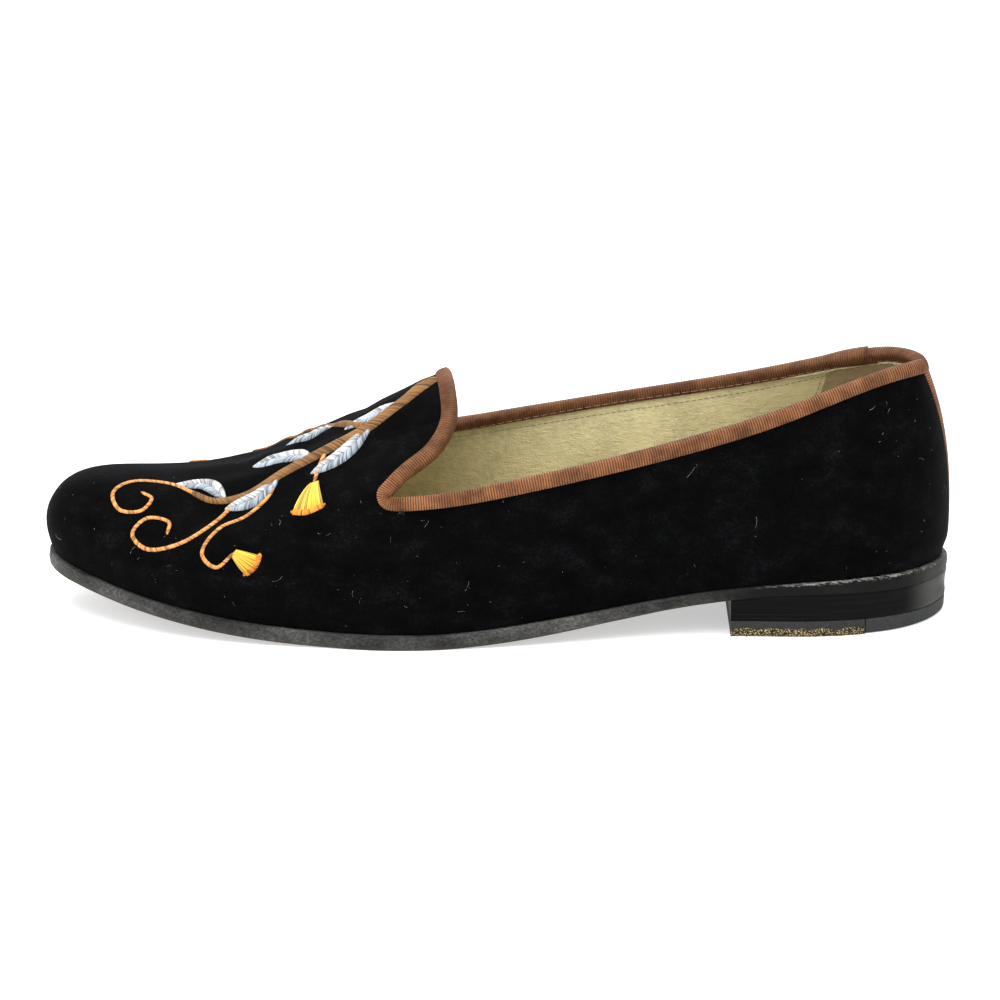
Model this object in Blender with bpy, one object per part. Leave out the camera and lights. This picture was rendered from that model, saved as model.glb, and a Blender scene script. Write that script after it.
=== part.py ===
"""Velvet slipper loafer, left shoe: hollow upper on a last, ribbon binding, outsole and heel.

The toe points to -X, the heel to +X, +Z is up and the outer (lateral) side faces -Y.
Every surface comes from one table of ribs round the last, from the heel back over the
outer side to the toe. The inner side runs through the same ribs back to the heel.
"""
import bmesh
import bpy
import numpy as np

# Last
LAST_LENGTH = 0.2542
BALL_WIDTH = 0.0764
COLLAR_HEIGHT = 0.0728
NOTCH_HEIGHT = 0.0420
TONGUE_HEIGHT = 0.0692
BULGE = 0.0024

# Upper, insole and ribbon
WALL = 0.0020
INSOLE_THICKNESS = 0.0026
RIBBON_OUTSIDE = 0.0031
RIBBON_INSIDE = 0.0026
RIBBON_THICKNESS = 0.0006
STRIP_TOP_WIDTH = 0.0086
STRIP_FOOT_WIDTH = 0.0046

# Sole and heel
SOLE_MARGIN = 0.0012
SOLE_FORE = 0.0041
SOLE_WAIST = 0.0031
SOLE_SEAT = 0.0040
TOE_SPRING = 0.0122
SEAT_HEIGHT = 0.0123
LIFT_THICKNESS = 0.0045
HEEL_LENGTH = 0.0636
RUBBER_LENGTH = 0.0256

# Meeting pieces stand this far apart
GAP = 0.0003

# How far the ribs turn square to the topline where they meet it, from 0 to 1
SQUARENESS = 0.8

# Where the faces are cut up each rib
CUTS_UP = (0.0, 0.10, 0.20, 0.32, 0.46, 0.60, 0.73, 0.84, 0.93, 1.0)

# A row for each rib, heel to toe. Lengths along are shares of LAST_LENGTH from the toe, widths
# across are shares of BALL_WIDTH. A climb goes from the throat notch at 0 up to the collar or
# the tongue at 1, and the inner side's topline stands a little higher than the outer one's. The
# wall is 0 for a quarter, 1 for a cheek, 2 for a shoulder and 3 for the toe. The cuts say how
# finely the surface is cut into faces up to the next rib.
RIB_COLUMNS = (
    "along", "outer", "inner", "top_along", "inner_top_along", "top_across",
    "climb", "inner_climb", "wall", "cuts",
)
RIBS = (
    (1.000, 0.000, 0.000, 0.967, 0.967, 0.000, 1.000, 1.000, 0.00, 3),
    (0.987, 0.127, 0.124, 0.959, 0.959, 0.067, 1.015, 1.010, 0.00, 3),
    (0.958, 0.229, 0.224, 0.943, 0.943, 0.120, 1.018, 1.008, 0.00, 2),
    (0.915, 0.296, 0.287, 0.917, 0.917, 0.165, 0.986, 0.975, 0.00, 2),
    (0.853, 0.332, 0.320, 0.867, 0.867, 0.222, 0.868, 0.862, 0.00, 2),
    (0.782, 0.330, 0.313, 0.802, 0.802, 0.278, 0.690, 0.705, 0.00, 2),
    (0.707, 0.332, 0.305, 0.731, 0.731, 0.322, 0.525, 0.562, 0.00, 2),
    (0.633, 0.367, 0.318, 0.660, 0.660, 0.357, 0.385, 0.438, 0.00, 2),
    (0.562, 0.415, 0.362, 0.589, 0.589, 0.387, 0.262, 0.322, 0.00, 2),
    (0.495, 0.454, 0.421, 0.522, 0.522, 0.408, 0.150, 0.215, 0.00, 2),
    (0.436, 0.479, 0.473, 0.460, 0.460, 0.419, 0.055, 0.122, 0.10, 3),
    (0.389, 0.486, 0.502, 0.412, 0.412, 0.419, 0.005, 0.068, 0.30, 4),
    (0.357, 0.480, 0.512, 0.382, 0.382, 0.409, 0.000, 0.052, 0.55, 6),
    (0.326, 0.467, 0.515, 0.384, 0.383, 0.393, 0.077, 0.110, 0.80, 4),
    (0.287, 0.448, 0.507, 0.394, 0.392, 0.373, 0.169, 0.185, 1.00, 4),
    (0.232, 0.421, 0.488, 0.411, 0.408, 0.344, 0.298, 0.300, 1.20, 4),
    (0.171, 0.371, 0.451, 0.431, 0.426, 0.303, 0.441, 0.434, 1.50, 4),
    (0.105, 0.283, 0.384, 0.447, 0.440, 0.228, 0.673, 0.655, 2.00, 4),
    (0.047, 0.160, 0.282, 0.447, 0.441, 0.142, 0.882, 0.868, 2.50, 4),
    (0.013, 0.059, 0.182, 0.444, 0.441, 0.062, 0.978, 0.972, 3.00, 4),
    (0.000, -0.062, 0.062, 0.442, 0.442, 0.000, 1.000, 1.000, 3.00, 4),
)

# How a rib runs from the sole edge up to the topline, for each kind of wall in turn: a quarter,
# a cheek, a shoulder and the toe. A row for each control point, sole to topline. The run and
# rise are shares of the way to the topline, and the swell outwards is a share of BULGE.
WALL_COLUMNS = ("run", "swell", "rise")
WALLS = (
    (
        (0.00, 0.10, 0.080),
        (0.00, 0.20, 0.260),
        (0.12, 0.25, 0.500),
        (0.40, 0.20, 0.740),
        (0.78, 0.10, 0.920),
    ),
    (
        (0.00, 0.60, 0.120),
        (0.02, 1.00, 0.300),
        (0.12, 0.90, 0.500),
        (0.42, 0.50, 0.740),
        (0.78, 0.20, 0.950),
    ),
    (
        (0.00, 0.70, 0.140),
        (0.00, 0.70, 0.270),
        (0.12, 0.40, 0.400),
        (0.40, 0.10, 0.480),
        (0.74, 0.00, 0.770),
    ),
    (
        (0.00, 1.30, 0.150),
        (0.00, 0.20, 0.310),
        (0.08, 0.00, 0.468),
        (0.42, 0.00, 0.385),
        (0.70, 0.00, 0.680),
    ),
)

# Where the sole bends and where its edge changes thickness: shares of its length from the toe
BALL_FLAT_START = 0.375
BALL_FLAT_END = 0.415
SEAT_START = 0.860
THINNING_START = 0.50
THINNING_END = 0.74
THICKENING_START = 0.80
THICKENING_END = 0.93

# Steps of the walk that measures how far down the wall the ribbon reaches
WALK_STEPS = 4

# Colours
VELVET_BLACK = (0.008, 0.008, 0.010)
RIBBON_BROWN = (0.170, 0.055, 0.030)
SOLE_BLACK = (0.012, 0.012, 0.013)
SOCK_GOLD = (0.550, 0.470, 0.280)
RUBBER_GREY = (0.035, 0.037, 0.038)
LIFT_BROWN = (0.050, 0.045, 0.040)

RIB_COUNT = len(RIBS)
NOTCH_RIB = 12
TURN = 2 * (RIB_COUNT - 1)
TABLE = dict(zip(RIB_COLUMNS, np.array(RIBS).T))
SOLE_LENGTH = LAST_LENGTH + 2 * SOLE_MARGIN


def smooth(low, high, value):
    """Rises from 0 to 1 between low and high with no corner."""
    share = np.clip((value - low) / (high - low), 0.0, 1.0)
    return share * share * (3.0 - 2.0 * share)


def sole_bottom(x):
    """Height of the sole's underside over the floor at x, counted from the last's toe."""
    share = (x + SOLE_MARGIN) / SOLE_LENGTH
    spring = np.clip((BALL_FLAT_START - share) / BALL_FLAT_START, 0.0, 1.0) ** 2
    return TOE_SPRING * spring + SEAT_HEIGHT * smooth(BALL_FLAT_END, SEAT_START, share)


def sole_top(x):
    """Height of the sole's upper face, which the feather edge of the upper stands on."""
    share = (x + SOLE_MARGIN) / SOLE_LENGTH
    to_waist = (SOLE_WAIST - SOLE_FORE) * smooth(THINNING_START, THINNING_END, share)
    to_seat = (SOLE_SEAT - SOLE_WAIST) * smooth(THICKENING_START, THICKENING_END, share)
    return sole_bottom(x) + SOLE_FORE + to_waist + to_seat


def unit(vectors):
    return vectors / np.linalg.norm(vectors, axis=-1)[..., None]


def plan_outward(forward):
    """Directions out of the outline, for steps along it from the heel over the outer side."""
    return unit(np.stack([-forward[..., 1], forward[..., 0]], axis=-1))


def closed_spline(points):
    """Second differences of the smooth closed curve through points, one unit of turn apart."""
    count = len(points)
    matrix = 4.0 * np.eye(count) + np.roll(np.eye(count), 1, 0) + np.roll(np.eye(count), -1, 0)
    change = np.roll(points, -1, 0) - 2.0 * points + np.roll(points, 1, 0)
    return np.linalg.solve(matrix, 6.0 * change.reshape(count, -1)).reshape(points.shape)


def rib_controls():
    """Control points of every rib round the last: an array of ribs by controls by x, y, z."""
    inner_rows = np.arange(RIB_COUNT - 2, 0, -1)
    outer_rows = np.arange(RIB_COUNT)
    rows = np.concatenate([outer_rows, inner_rows])
    across = np.concatenate([-TABLE["outer"], TABLE["inner"][inner_rows]]) * BALL_WIDTH
    side = np.concatenate([-np.ones(RIB_COUNT), np.ones(RIB_COUNT - 2)])
    top_along = np.concatenate([TABLE["top_along"], TABLE["inner_top_along"][inner_rows]])
    climb = np.concatenate([TABLE["climb"], TABLE["inner_climb"][inner_rows]])
    foot = np.stack([TABLE["along"][rows] * LAST_LENGTH, across], axis=1)
    top_across = side * TABLE["top_across"][rows] * BALL_WIDTH
    top = np.stack([top_along * LAST_LENGTH, top_across], axis=1)
    peak = np.where(rows < NOTCH_RIB, COLLAR_HEIGHT, TONGUE_HEIGHT)
    top_height = NOTCH_HEIGHT + climb * (peak - NOTCH_HEIGHT)
    foot_height = sole_top(foot[:, 0]) + GAP
    outward = plan_outward(np.roll(foot, -1, 0) - np.roll(foot, 1, 0))
    walls = np.array(WALLS)
    kind = TABLE["wall"][rows]
    lower = np.minimum(kind.astype(int), len(walls) - 2)
    part = (kind - lower)[:, None, None]
    profile = walls[lower] * (1.0 - part) + walls[lower + 1] * part
    controls = np.zeros((TURN, profile.shape[1] + 2, 3))
    controls[:, 0] = np.column_stack([foot, foot_height])
    controls[:, -1] = np.column_stack([top, top_height])
    for column in range(profile.shape[1]):
        run, swell, rise = (profile[:, column, WALL_COLUMNS.index(n)] for n in ("run", "swell", "rise"))
        plan = foot + run[:, None] * (top - foot) + (swell * BULGE)[:, None] * outward
        controls[:, column + 1, :2] = plan
        controls[:, column + 1, 2] = foot_height + rise * (top_height - foot_height)
    return meet_topline_squarely(controls)


def meet_topline_squarely(controls):
    """Swings the last stretch of each rib part of the way square to the topline."""
    topline = controls[:, -1]
    edge = unit(np.roll(topline, -1, 0) - np.roll(topline, 1, 0))
    stretch = controls[:, -2] - topline
    swung = stretch - SQUARENESS * edge * np.sum(stretch * edge, -1)[:, None]
    length = np.linalg.norm(stretch, axis=-1)[:, None]
    controls[:, -2] = topline + unit(swung) * length
    return controls


CONTROLS = rib_controls()
BENDS = closed_spline(CONTROLS)


def basis(up):
    """Weights of the clamped cubic spline up a rib, for up from 0 at the sole to 1 at the top."""
    count = CONTROLS.shape[1]
    inside = np.linspace(0.0, 1.0, count - 2)[1:-1]
    knots = np.concatenate([np.zeros(4), inside, np.ones(4)])
    up = np.clip(up, 0.0, 1.0 - 1e-9)
    weights = [((up >= a) & (up < b)).astype(float) for a, b in zip(knots[:-1], knots[1:])]
    for degree in (1, 2, 3):
        raised = []
        for i in range(len(weights) - 1):
            left = knots[i + degree] - knots[i]
            right = knots[i + degree + 1] - knots[i + 1]
            value = np.zeros_like(up)
            if left > 0:
                value = value + (up - knots[i]) / left * weights[i]
            if right > 0:
                value = value + (knots[i + degree + 1] - up) / right * weights[i + 1]
            raised.append(value)
        weights = raised
    return np.stack(weights, axis=-1)


def ribs_at(turn):
    """Control points of the rib at each turn, from 0 at the heel round to TURN at the heel."""
    turn = np.mod(turn, TURN)
    start = np.minimum(turn.astype(int), TURN - 1)
    end = (start + 1) % TURN
    b = (turn - start)[..., None, None]
    a = 1.0 - b
    bend = (a ** 3 - a) * BENDS[start] + (b ** 3 - b) * BENDS[end]
    controls = a * CONTROLS[start] + b * CONTROLS[end] + bend / 6.0
    controls[..., 0, 2] = sole_top(controls[..., 0, 0]) + GAP
    return controls


def skin(turn, up):
    """Points of the upper's outer face."""
    return np.einsum("...c,...cx->...x", basis(up), ribs_at(turn))


def slopes(turn, up):
    """How the outer face moves with turn and with up."""
    step = 1e-4
    back = np.clip(up - step, 0.0, 1.0)
    forth = np.clip(up + step, 0.0, 1.0)
    along = (skin(turn + step, up) - skin(turn - step, up)) / (2.0 * step)
    rising = (skin(turn, forth) - skin(turn, back)) / (forth - back)[..., None]
    return along, rising


def normals(turn, up):
    """Directions pointing out of the upper's outer face."""
    along, rising = slopes(turn, up)
    return unit(np.cross(rising, along))


def place(turn, up, offset):
    """Points at an offset out of the upper's outer face."""
    return skin(turn, up) + offset * normals(turn, up)


def from_topline(turn, distance):
    """Turn and up of the spots on the wall that lie square in from the topline by distance."""
    up = np.ones_like(turn)
    heading = -over_topline(turn)
    for _ in range(WALK_STEPS):
        along, rising = slopes(turn, up)
        facing = unit(np.cross(rising, along))
        heading = unit(heading - facing * np.sum(heading * facing, -1)[..., None])
        square = np.stack([along, rising], axis=-1)
        gram = np.einsum("...xi,...xj->...ij", square, square)
        pull = np.einsum("...xi,...x->...i", square, heading) * distance / WALK_STEPS
        move = np.linalg.solve(gram, pull[..., None])[..., 0]
        turn = turn + move[..., 0]
        up = up + move[..., 1]
    return turn, up


def over_topline(turn):
    """Directions square to the topline, in the wall's face, that point into the opening."""
    along, rising = slopes(turn, np.ones_like(turn))
    edge = unit(along)
    return unit(rising - edge * np.sum(rising * edge, -1)[..., None])


def outline(turn, margin):
    """Plan points of the feather edge moved outwards by a margin."""
    foot = ribs_at(turn)[..., 0, :2]
    step = 1e-3
    forward = ribs_at(turn + step)[..., 0, :2] - ribs_at(turn - step)[..., 0, :2]
    return foot + margin * plan_outward(forward)


def cut_turns(start, end):
    """Turns on the outer side where the faces are cut, between two turns and with both."""
    cuts = TABLE["cuts"].astype(int)
    turns = np.concatenate([i + np.arange(cuts[i]) / cuts[i] for i in range(RIB_COUNT - 1)])
    inside = turns[(turns > start + 0.1) & (turns < end - 0.1)]
    return np.concatenate([[start], inside, [end]])


def all_turns():
    """Turns all round the shoe, the same cuts on both sides."""
    outer = cut_turns(0.0, TURN / 2)
    return np.concatenate([outer, TURN - outer[-2:0:-1]])


def turn_at(x, margin):
    """Turn on the outer side where the outline, moved out by a margin, reaches x."""
    turns = np.linspace(0.0, TURN / 2, 4001)
    return float(np.interp(-x, -outline(turns, margin)[:, 0], turns))


def finish_object(name, points, faces, colour, roughness):
    """Makes one closed object from its points and faces, with its own material."""
    mesh = bpy.data.meshes.new(name)
    mesh.from_pydata(points, [], faces)
    work = bmesh.new()
    work.from_mesh(mesh)
    bmesh.ops.remove_doubles(work, verts=work.verts, dist=1e-6)
    bmesh.ops.recalc_face_normals(work, faces=work.faces)
    work.to_mesh(mesh)
    work.free()
    mesh.shade_smooth()
    mesh.set_sharp_from_angle(angle=np.radians(40.0))
    material = bpy.data.materials.new(name)
    material.use_nodes = True
    shader = material.node_tree.nodes["Principled BSDF"]
    shader.inputs["Base Color"].default_value = (*colour, 1.0)
    shader.inputs["Roughness"].default_value = roughness
    shader.inputs["Metallic"].default_value = 0.0
    mesh.materials.append(material)
    piece = bpy.data.objects.new(name, mesh)
    SHOE.objects.link(piece)
    return piece


def halves(quad, mirrored):
    """Cuts a four-cornered face in two, the other way across on the mirrored side."""
    a, b, c, d = quad
    return ((b, c, d), (b, d, a)) if mirrored else ((a, b, c), (a, c, d))


def solid_between(name, front, back, closed, colour, roughness):
    """A solid between two grids of points, which may close round on themselves."""
    rows, columns = front.shape[:2]
    points = np.concatenate([front.reshape(-1, 3), back.reshape(-1, 3)])
    front_at = np.arange(rows * columns).reshape(rows, columns)
    back_at = front_at + rows * columns
    faces = []
    last = rows if closed else rows - 1
    for i in range(last):
        j = (i + 1) % rows
        for k in range(columns - 1):
            for at in (front_at, back_at):
                quad = (at[i, k], at[j, k], at[j, k + 1], at[i, k + 1])
                faces.extend(halves(quad, mirrored=i >= rows / 2))
        for k in (0, columns - 1):
            faces.append((front_at[i, k], back_at[i, k], back_at[j, k], front_at[j, k]))
    if not closed:
        for i in (0, rows - 1):
            for k in range(columns - 1):
                faces.append((front_at[i, k], front_at[i, k + 1], back_at[i, k + 1], back_at[i, k]))
    faces = [tuple(int(corner) for corner in face) for face in faces]
    return finish_object(name, points, faces, colour, roughness)


def slab(name, start, end, margin, low, high, colour, roughness):
    """A flat layer of the sole's outline between two turns, from height low(x) to high(x)."""
    outer = cut_turns(start, end)
    plan = np.stack([outline(outer, margin), outline(TURN - outer, margin)], axis=1)
    top = np.concatenate([plan, high(plan[..., :1])], axis=-1)
    bottom = np.concatenate([plan, low(plan[..., :1])], axis=-1)
    return solid_between(name, top, bottom, False, colour, roughness)


def make_upper():
    turn, up = np.meshgrid(all_turns(), np.array(CUTS_UP), indexing="ij")
    outside = place(turn, up, 0.0)
    inside = place(turn, up, -WALL)
    solid_between("upper", outside, inside, True, VELVET_BLACK, 0.95)


def make_topline_binding():
    """Ribbon folded over the topline: an outer leg, a crown over the edge and an inner leg."""
    turn = all_turns()
    edge = np.ones_like(turn)
    over = over_topline(turn)
    faces = []
    for clear in (RIBBON_THICKNESS + GAP, GAP):
        outer_foot = place(*from_topline(turn, RIBBON_OUTSIDE), clear)
        outer_middle = place(*from_topline(turn, RIBBON_OUTSIDE / 2), clear)
        shoulder = over * (clear + GAP) / 2
        outer_edge = place(turn, edge, clear) + shoulder
        crown = place(turn, edge, -WALL / 2) + over * clear
        inner_edge = place(turn, edge, -WALL - clear) + shoulder
        inner_foot = place(*from_topline(turn, RIBBON_INSIDE), -WALL - clear)
        outside = [outer_foot, outer_middle, outer_edge]
        faces.append(np.stack([*outside, crown, inner_edge, inner_foot], axis=1))
    solid_between("topline_binding", faces[0], faces[1], True, RIBBON_BROWN, 0.8)


def make_back_strip():
    """Ribbon sewn upright over the heel seam, from the sole up to the binding."""
    end_clear = 2 * GAP
    across = np.linspace(-1.0, 1.0, 5)
    zero = np.zeros(1)
    top_up = float(from_topline(zero, RIBBON_OUTSIDE + end_clear)[1][0])
    rise = np.linspace(0.0, 1.0, len(CUTS_UP))
    half = (STRIP_FOOT_WIDTH + (STRIP_TOP_WIDTH - STRIP_FOOT_WIDTH) * rise) / 2
    bottom_up = end_clear / np.linalg.norm(slopes(zero, zero)[1])
    up = bottom_up + (top_up - bottom_up) * rise
    spread = np.linalg.norm(slopes(np.zeros_like(up), up)[0], axis=-1)
    turn = across[:, None] * (half / spread)[None, :]
    up = np.broadcast_to(up, turn.shape)
    front = place(turn, up, GAP + RIBBON_THICKNESS)
    back = place(turn, up, GAP)
    solid_between("back_strip", front, back, False, RIBBON_BROWN, 0.8)


def sock_bottom(x):
    return sole_top(x) + GAP


def sock_top(x):
    return sock_bottom(x) + INSOLE_THICKNESS


def block_bottom(x):
    return lift_top(x) + GAP


def block_top(x):
    return sole_bottom(x) - GAP


def lift_top(x):
    return np.full_like(x, LIFT_THICKNESS)


def floor(x):
    return np.zeros_like(x)


def make_sole_and_heel():
    slab("outsole", 0.0, TURN / 2, SOLE_MARGIN, sole_bottom, sole_top, SOLE_BLACK, 0.5)
    slab("insole", 0.0, TURN / 2, -WALL - 2 * GAP, sock_bottom, sock_top, SOCK_GOLD, 0.6)
    back = LAST_LENGTH + SOLE_MARGIN
    breast = turn_at(back - HEEL_LENGTH, SOLE_MARGIN)
    rubber_front = turn_at(back - RUBBER_LENGTH, SOLE_MARGIN)
    leather_back = turn_at(back - RUBBER_LENGTH - GAP, SOLE_MARGIN)
    slab("heel_block", 0.0, breast, SOLE_MARGIN, block_bottom, block_top, SOLE_BLACK, 0.25)
    slab("heel_lift_rubber", 0.0, rubber_front, SOLE_MARGIN, floor, lift_top, RUBBER_GREY, 0.7)
    slab("heel_lift_leather", leather_back, breast, SOLE_MARGIN, floor, lift_top, LIFT_BROWN, 0.7)


def centre_on_floor():
    """Moves every piece so that the middle of the shoe's box stands over the origin."""
    points = np.array([v.co for piece in SHOE.objects for v in piece.data.vertices])
    middle = (points.max(axis=0) + points.min(axis=0)) / 2
    middle[2] = points[:, 2].min()
    for piece in SHOE.objects:
        piece.location = -middle


for leftover in list(bpy.data.objects):
    bpy.data.objects.remove(leftover)
SHOE = bpy.data.collections.new("velvet_slipper_loafer")
bpy.context.scene.collection.children.link(SHOE)
make_sole_and_heel()
make_upper()
make_topline_binding()
make_back_strip()
centre_on_floor()
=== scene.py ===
"""Velvet slipper loafer, left shoe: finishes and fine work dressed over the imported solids.

The toe points to -X, the heel to +X, +Z is up and the outer (lateral) side faces -Y. The
surfaces come from the same table of ribs as the solids, cut finer, so every piece lies where
its solid is. Sizes are in metres.
"""

import bmesh
import bpy
import numpy as np
from bpy.props import FloatProperty, FloatVectorProperty, IntProperty, PointerProperty
from bpy.types import Operator, Panel, PropertyGroup
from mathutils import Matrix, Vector


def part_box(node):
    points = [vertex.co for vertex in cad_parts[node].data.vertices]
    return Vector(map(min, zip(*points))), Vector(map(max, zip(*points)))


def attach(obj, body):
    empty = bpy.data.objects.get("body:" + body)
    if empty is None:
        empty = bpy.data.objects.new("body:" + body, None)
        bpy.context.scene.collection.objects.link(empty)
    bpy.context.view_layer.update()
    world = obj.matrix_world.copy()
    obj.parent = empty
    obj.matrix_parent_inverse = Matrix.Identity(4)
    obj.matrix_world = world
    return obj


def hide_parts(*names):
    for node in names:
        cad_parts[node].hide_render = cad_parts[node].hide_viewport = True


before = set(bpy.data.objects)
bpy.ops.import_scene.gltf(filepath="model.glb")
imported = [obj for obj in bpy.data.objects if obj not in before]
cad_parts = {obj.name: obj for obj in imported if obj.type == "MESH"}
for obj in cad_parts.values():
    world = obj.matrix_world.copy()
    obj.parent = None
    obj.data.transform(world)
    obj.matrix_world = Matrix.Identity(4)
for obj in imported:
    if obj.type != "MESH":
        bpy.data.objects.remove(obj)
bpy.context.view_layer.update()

bl_info = {
    "name": "Velvet Slipper Loafer",
    "version": (1, 0, 0),
    "blender": (4, 5, 0),
    "location": "View3D > Sidebar > Slipper",
    "description": "Dresses a velvet slipper loafer: nap, ribbon, lining, embroidery, sole and heel",
    "category": "Object",
}

# Last
LAST_LENGTH = 0.2542
BALL_WIDTH = 0.0764
COLLAR_HEIGHT = 0.0728
NOTCH_HEIGHT = 0.0420
TONGUE_HEIGHT = 0.0692
BULGE = 0.0024

# Upper, insole and ribbon
WALL = 0.0020
INSOLE_THICKNESS = 0.0026
RIBBON_OUTSIDE = 0.0031
RIBBON_INSIDE = 0.0026
STRIP_TOP_WIDTH = 0.0086
STRIP_FOOT_WIDTH = 0.0046

# Sole and heel
SOLE_MARGIN = 0.0012
SOLE_FORE = 0.0041
SOLE_WAIST = 0.0031
SOLE_SEAT = 0.0040
TOE_SPRING = 0.0122
SEAT_HEIGHT = 0.0123
LIFT_THICKNESS = 0.0045
HEEL_LENGTH = 0.0636
RUBBER_LENGTH = 0.0256
GAP = 0.0003
SQUARENESS = 0.8

# A row for each rib, heel to toe, as in the solids
RIB_COLUMNS = ("along", "outer", "inner", "top_along", "inner_top_along", "top_across", "climb",
               "inner_climb", "wall")
RIBS = (
    (1.000, 0.000, 0.000, 0.967, 0.967, 0.000, 1.000, 1.000, 0.00),
    (0.987, 0.127, 0.124, 0.959, 0.959, 0.067, 1.015, 1.010, 0.00),
    (0.958, 0.229, 0.224, 0.943, 0.943, 0.120, 1.018, 1.008, 0.00),
    (0.915, 0.296, 0.287, 0.917, 0.917, 0.165, 0.986, 0.975, 0.00),
    (0.853, 0.332, 0.320, 0.867, 0.867, 0.222, 0.868, 0.862, 0.00),
    (0.782, 0.330, 0.313, 0.802, 0.802, 0.278, 0.690, 0.705, 0.00),
    (0.707, 0.332, 0.305, 0.731, 0.731, 0.322, 0.525, 0.562, 0.00),
    (0.633, 0.367, 0.318, 0.660, 0.660, 0.357, 0.385, 0.438, 0.00),
    (0.562, 0.415, 0.362, 0.589, 0.589, 0.387, 0.262, 0.322, 0.00),
    (0.495, 0.454, 0.421, 0.522, 0.522, 0.408, 0.150, 0.215, 0.00),
    (0.436, 0.479, 0.473, 0.460, 0.460, 0.419, 0.055, 0.122, 0.10),
    (0.389, 0.486, 0.502, 0.412, 0.412, 0.419, 0.005, 0.068, 0.30),
    (0.357, 0.480, 0.512, 0.382, 0.382, 0.409, 0.000, 0.052, 0.55),
    (0.326, 0.467, 0.515, 0.384, 0.383, 0.393, 0.077, 0.110, 0.80),
    (0.287, 0.448, 0.507, 0.394, 0.392, 0.373, 0.169, 0.185, 1.00),
    (0.232, 0.421, 0.488, 0.411, 0.408, 0.344, 0.298, 0.300, 1.20),
    (0.171, 0.371, 0.451, 0.431, 0.426, 0.303, 0.441, 0.434, 1.50),
    (0.105, 0.283, 0.384, 0.447, 0.440, 0.228, 0.673, 0.655, 2.00),
    (0.047, 0.160, 0.282, 0.447, 0.441, 0.142, 0.882, 0.868, 2.50),
    (0.013, 0.059, 0.182, 0.444, 0.441, 0.062, 0.978, 0.972, 3.00),
    (0.000, -0.062, 0.062, 0.442, 0.442, 0.000, 1.000, 1.000, 3.00),
)

# How a rib runs up: a quarter, a cheek, a shoulder and the toe, as rows of run, swell and rise
WALLS = (
    ((0.00, 0.10, 0.080), (0.00, 0.20, 0.260), (0.12, 0.25, 0.500), (0.40, 0.20, 0.740), (0.78, 0.10, 0.920)),
    ((0.00, 0.60, 0.120), (0.02, 1.00, 0.300), (0.12, 0.90, 0.500), (0.42, 0.50, 0.740), (0.78, 0.20, 0.950)),
    ((0.00, 0.70, 0.140), (0.00, 0.70, 0.270), (0.12, 0.40, 0.400), (0.40, 0.10, 0.480), (0.74, 0.00, 0.770)),
    ((0.00, 1.30, 0.150), (0.00, 0.20, 0.310), (0.08, 0.00, 0.468), (0.42, 0.00, 0.385), (0.70, 0.00, 0.680)),
)

# Where the sole bends and where its edge changes thickness: shares of its length from the toe
BALL_FLAT_START = 0.375
BALL_FLAT_END = 0.415
SEAT_START = 0.860
THINNING = (0.50, 0.74)
THICKENING = (0.80, 0.93)
WALK_STEPS = 4

RIB_COUNT = len(RIBS)
NOTCH_RIB = 12
TURN = 2 * (RIB_COUNT - 1)
TABLE = dict(zip(RIB_COLUMNS, np.array(RIBS).T))
SOLE_LENGTH = LAST_LENGTH + 2 * SOLE_MARGIN
ALL_ROUND = np.linspace(0.0, TURN, 4001)


def smooth(low, high, value):
    """Rises from 0 to 1 between low and high with no corner."""
    share = np.clip((value - low) / (high - low), 0.0, 1.0)
    return share * share * (3.0 - 2.0 * share)


def sole_bottom(x):
    """Height of the sole's underside over the floor at x, counted from the last's toe."""
    share = (x + SOLE_MARGIN) / SOLE_LENGTH
    spring = np.clip((BALL_FLAT_START - share) / BALL_FLAT_START, 0.0, 1.0) ** 2
    return TOE_SPRING * spring + SEAT_HEIGHT * smooth(BALL_FLAT_END, SEAT_START, share)


def sole_top(x):
    """Height of the sole's upper face, which the feather edge of the upper stands on."""
    share = (x + SOLE_MARGIN) / SOLE_LENGTH
    to_waist = (SOLE_WAIST - SOLE_FORE) * smooth(*THINNING, share)
    to_seat = (SOLE_SEAT - SOLE_WAIST) * smooth(*THICKENING, share)
    return sole_bottom(x) + SOLE_FORE + to_waist + to_seat


def unit(vectors):
    return vectors / np.linalg.norm(vectors, axis=-1)[..., None]


def sideways(forward):
    """Directions in the plane, square to forward: out of an outline that runs from the heel over
    the outer side.
    """
    return unit(np.stack([-forward[..., 1], forward[..., 0]], axis=-1))


def closed_spline(points):
    """Second differences of the smooth closed curve through points, one unit of turn apart."""
    count = len(points)
    matrix = 4.0 * np.eye(count) + np.roll(np.eye(count), 1, 0) + np.roll(np.eye(count), -1, 0)
    change = np.roll(points, -1, 0) - 2.0 * points + np.roll(points, 1, 0)
    return np.linalg.solve(matrix, 6.0 * change.reshape(count, -1)).reshape(points.shape)


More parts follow.
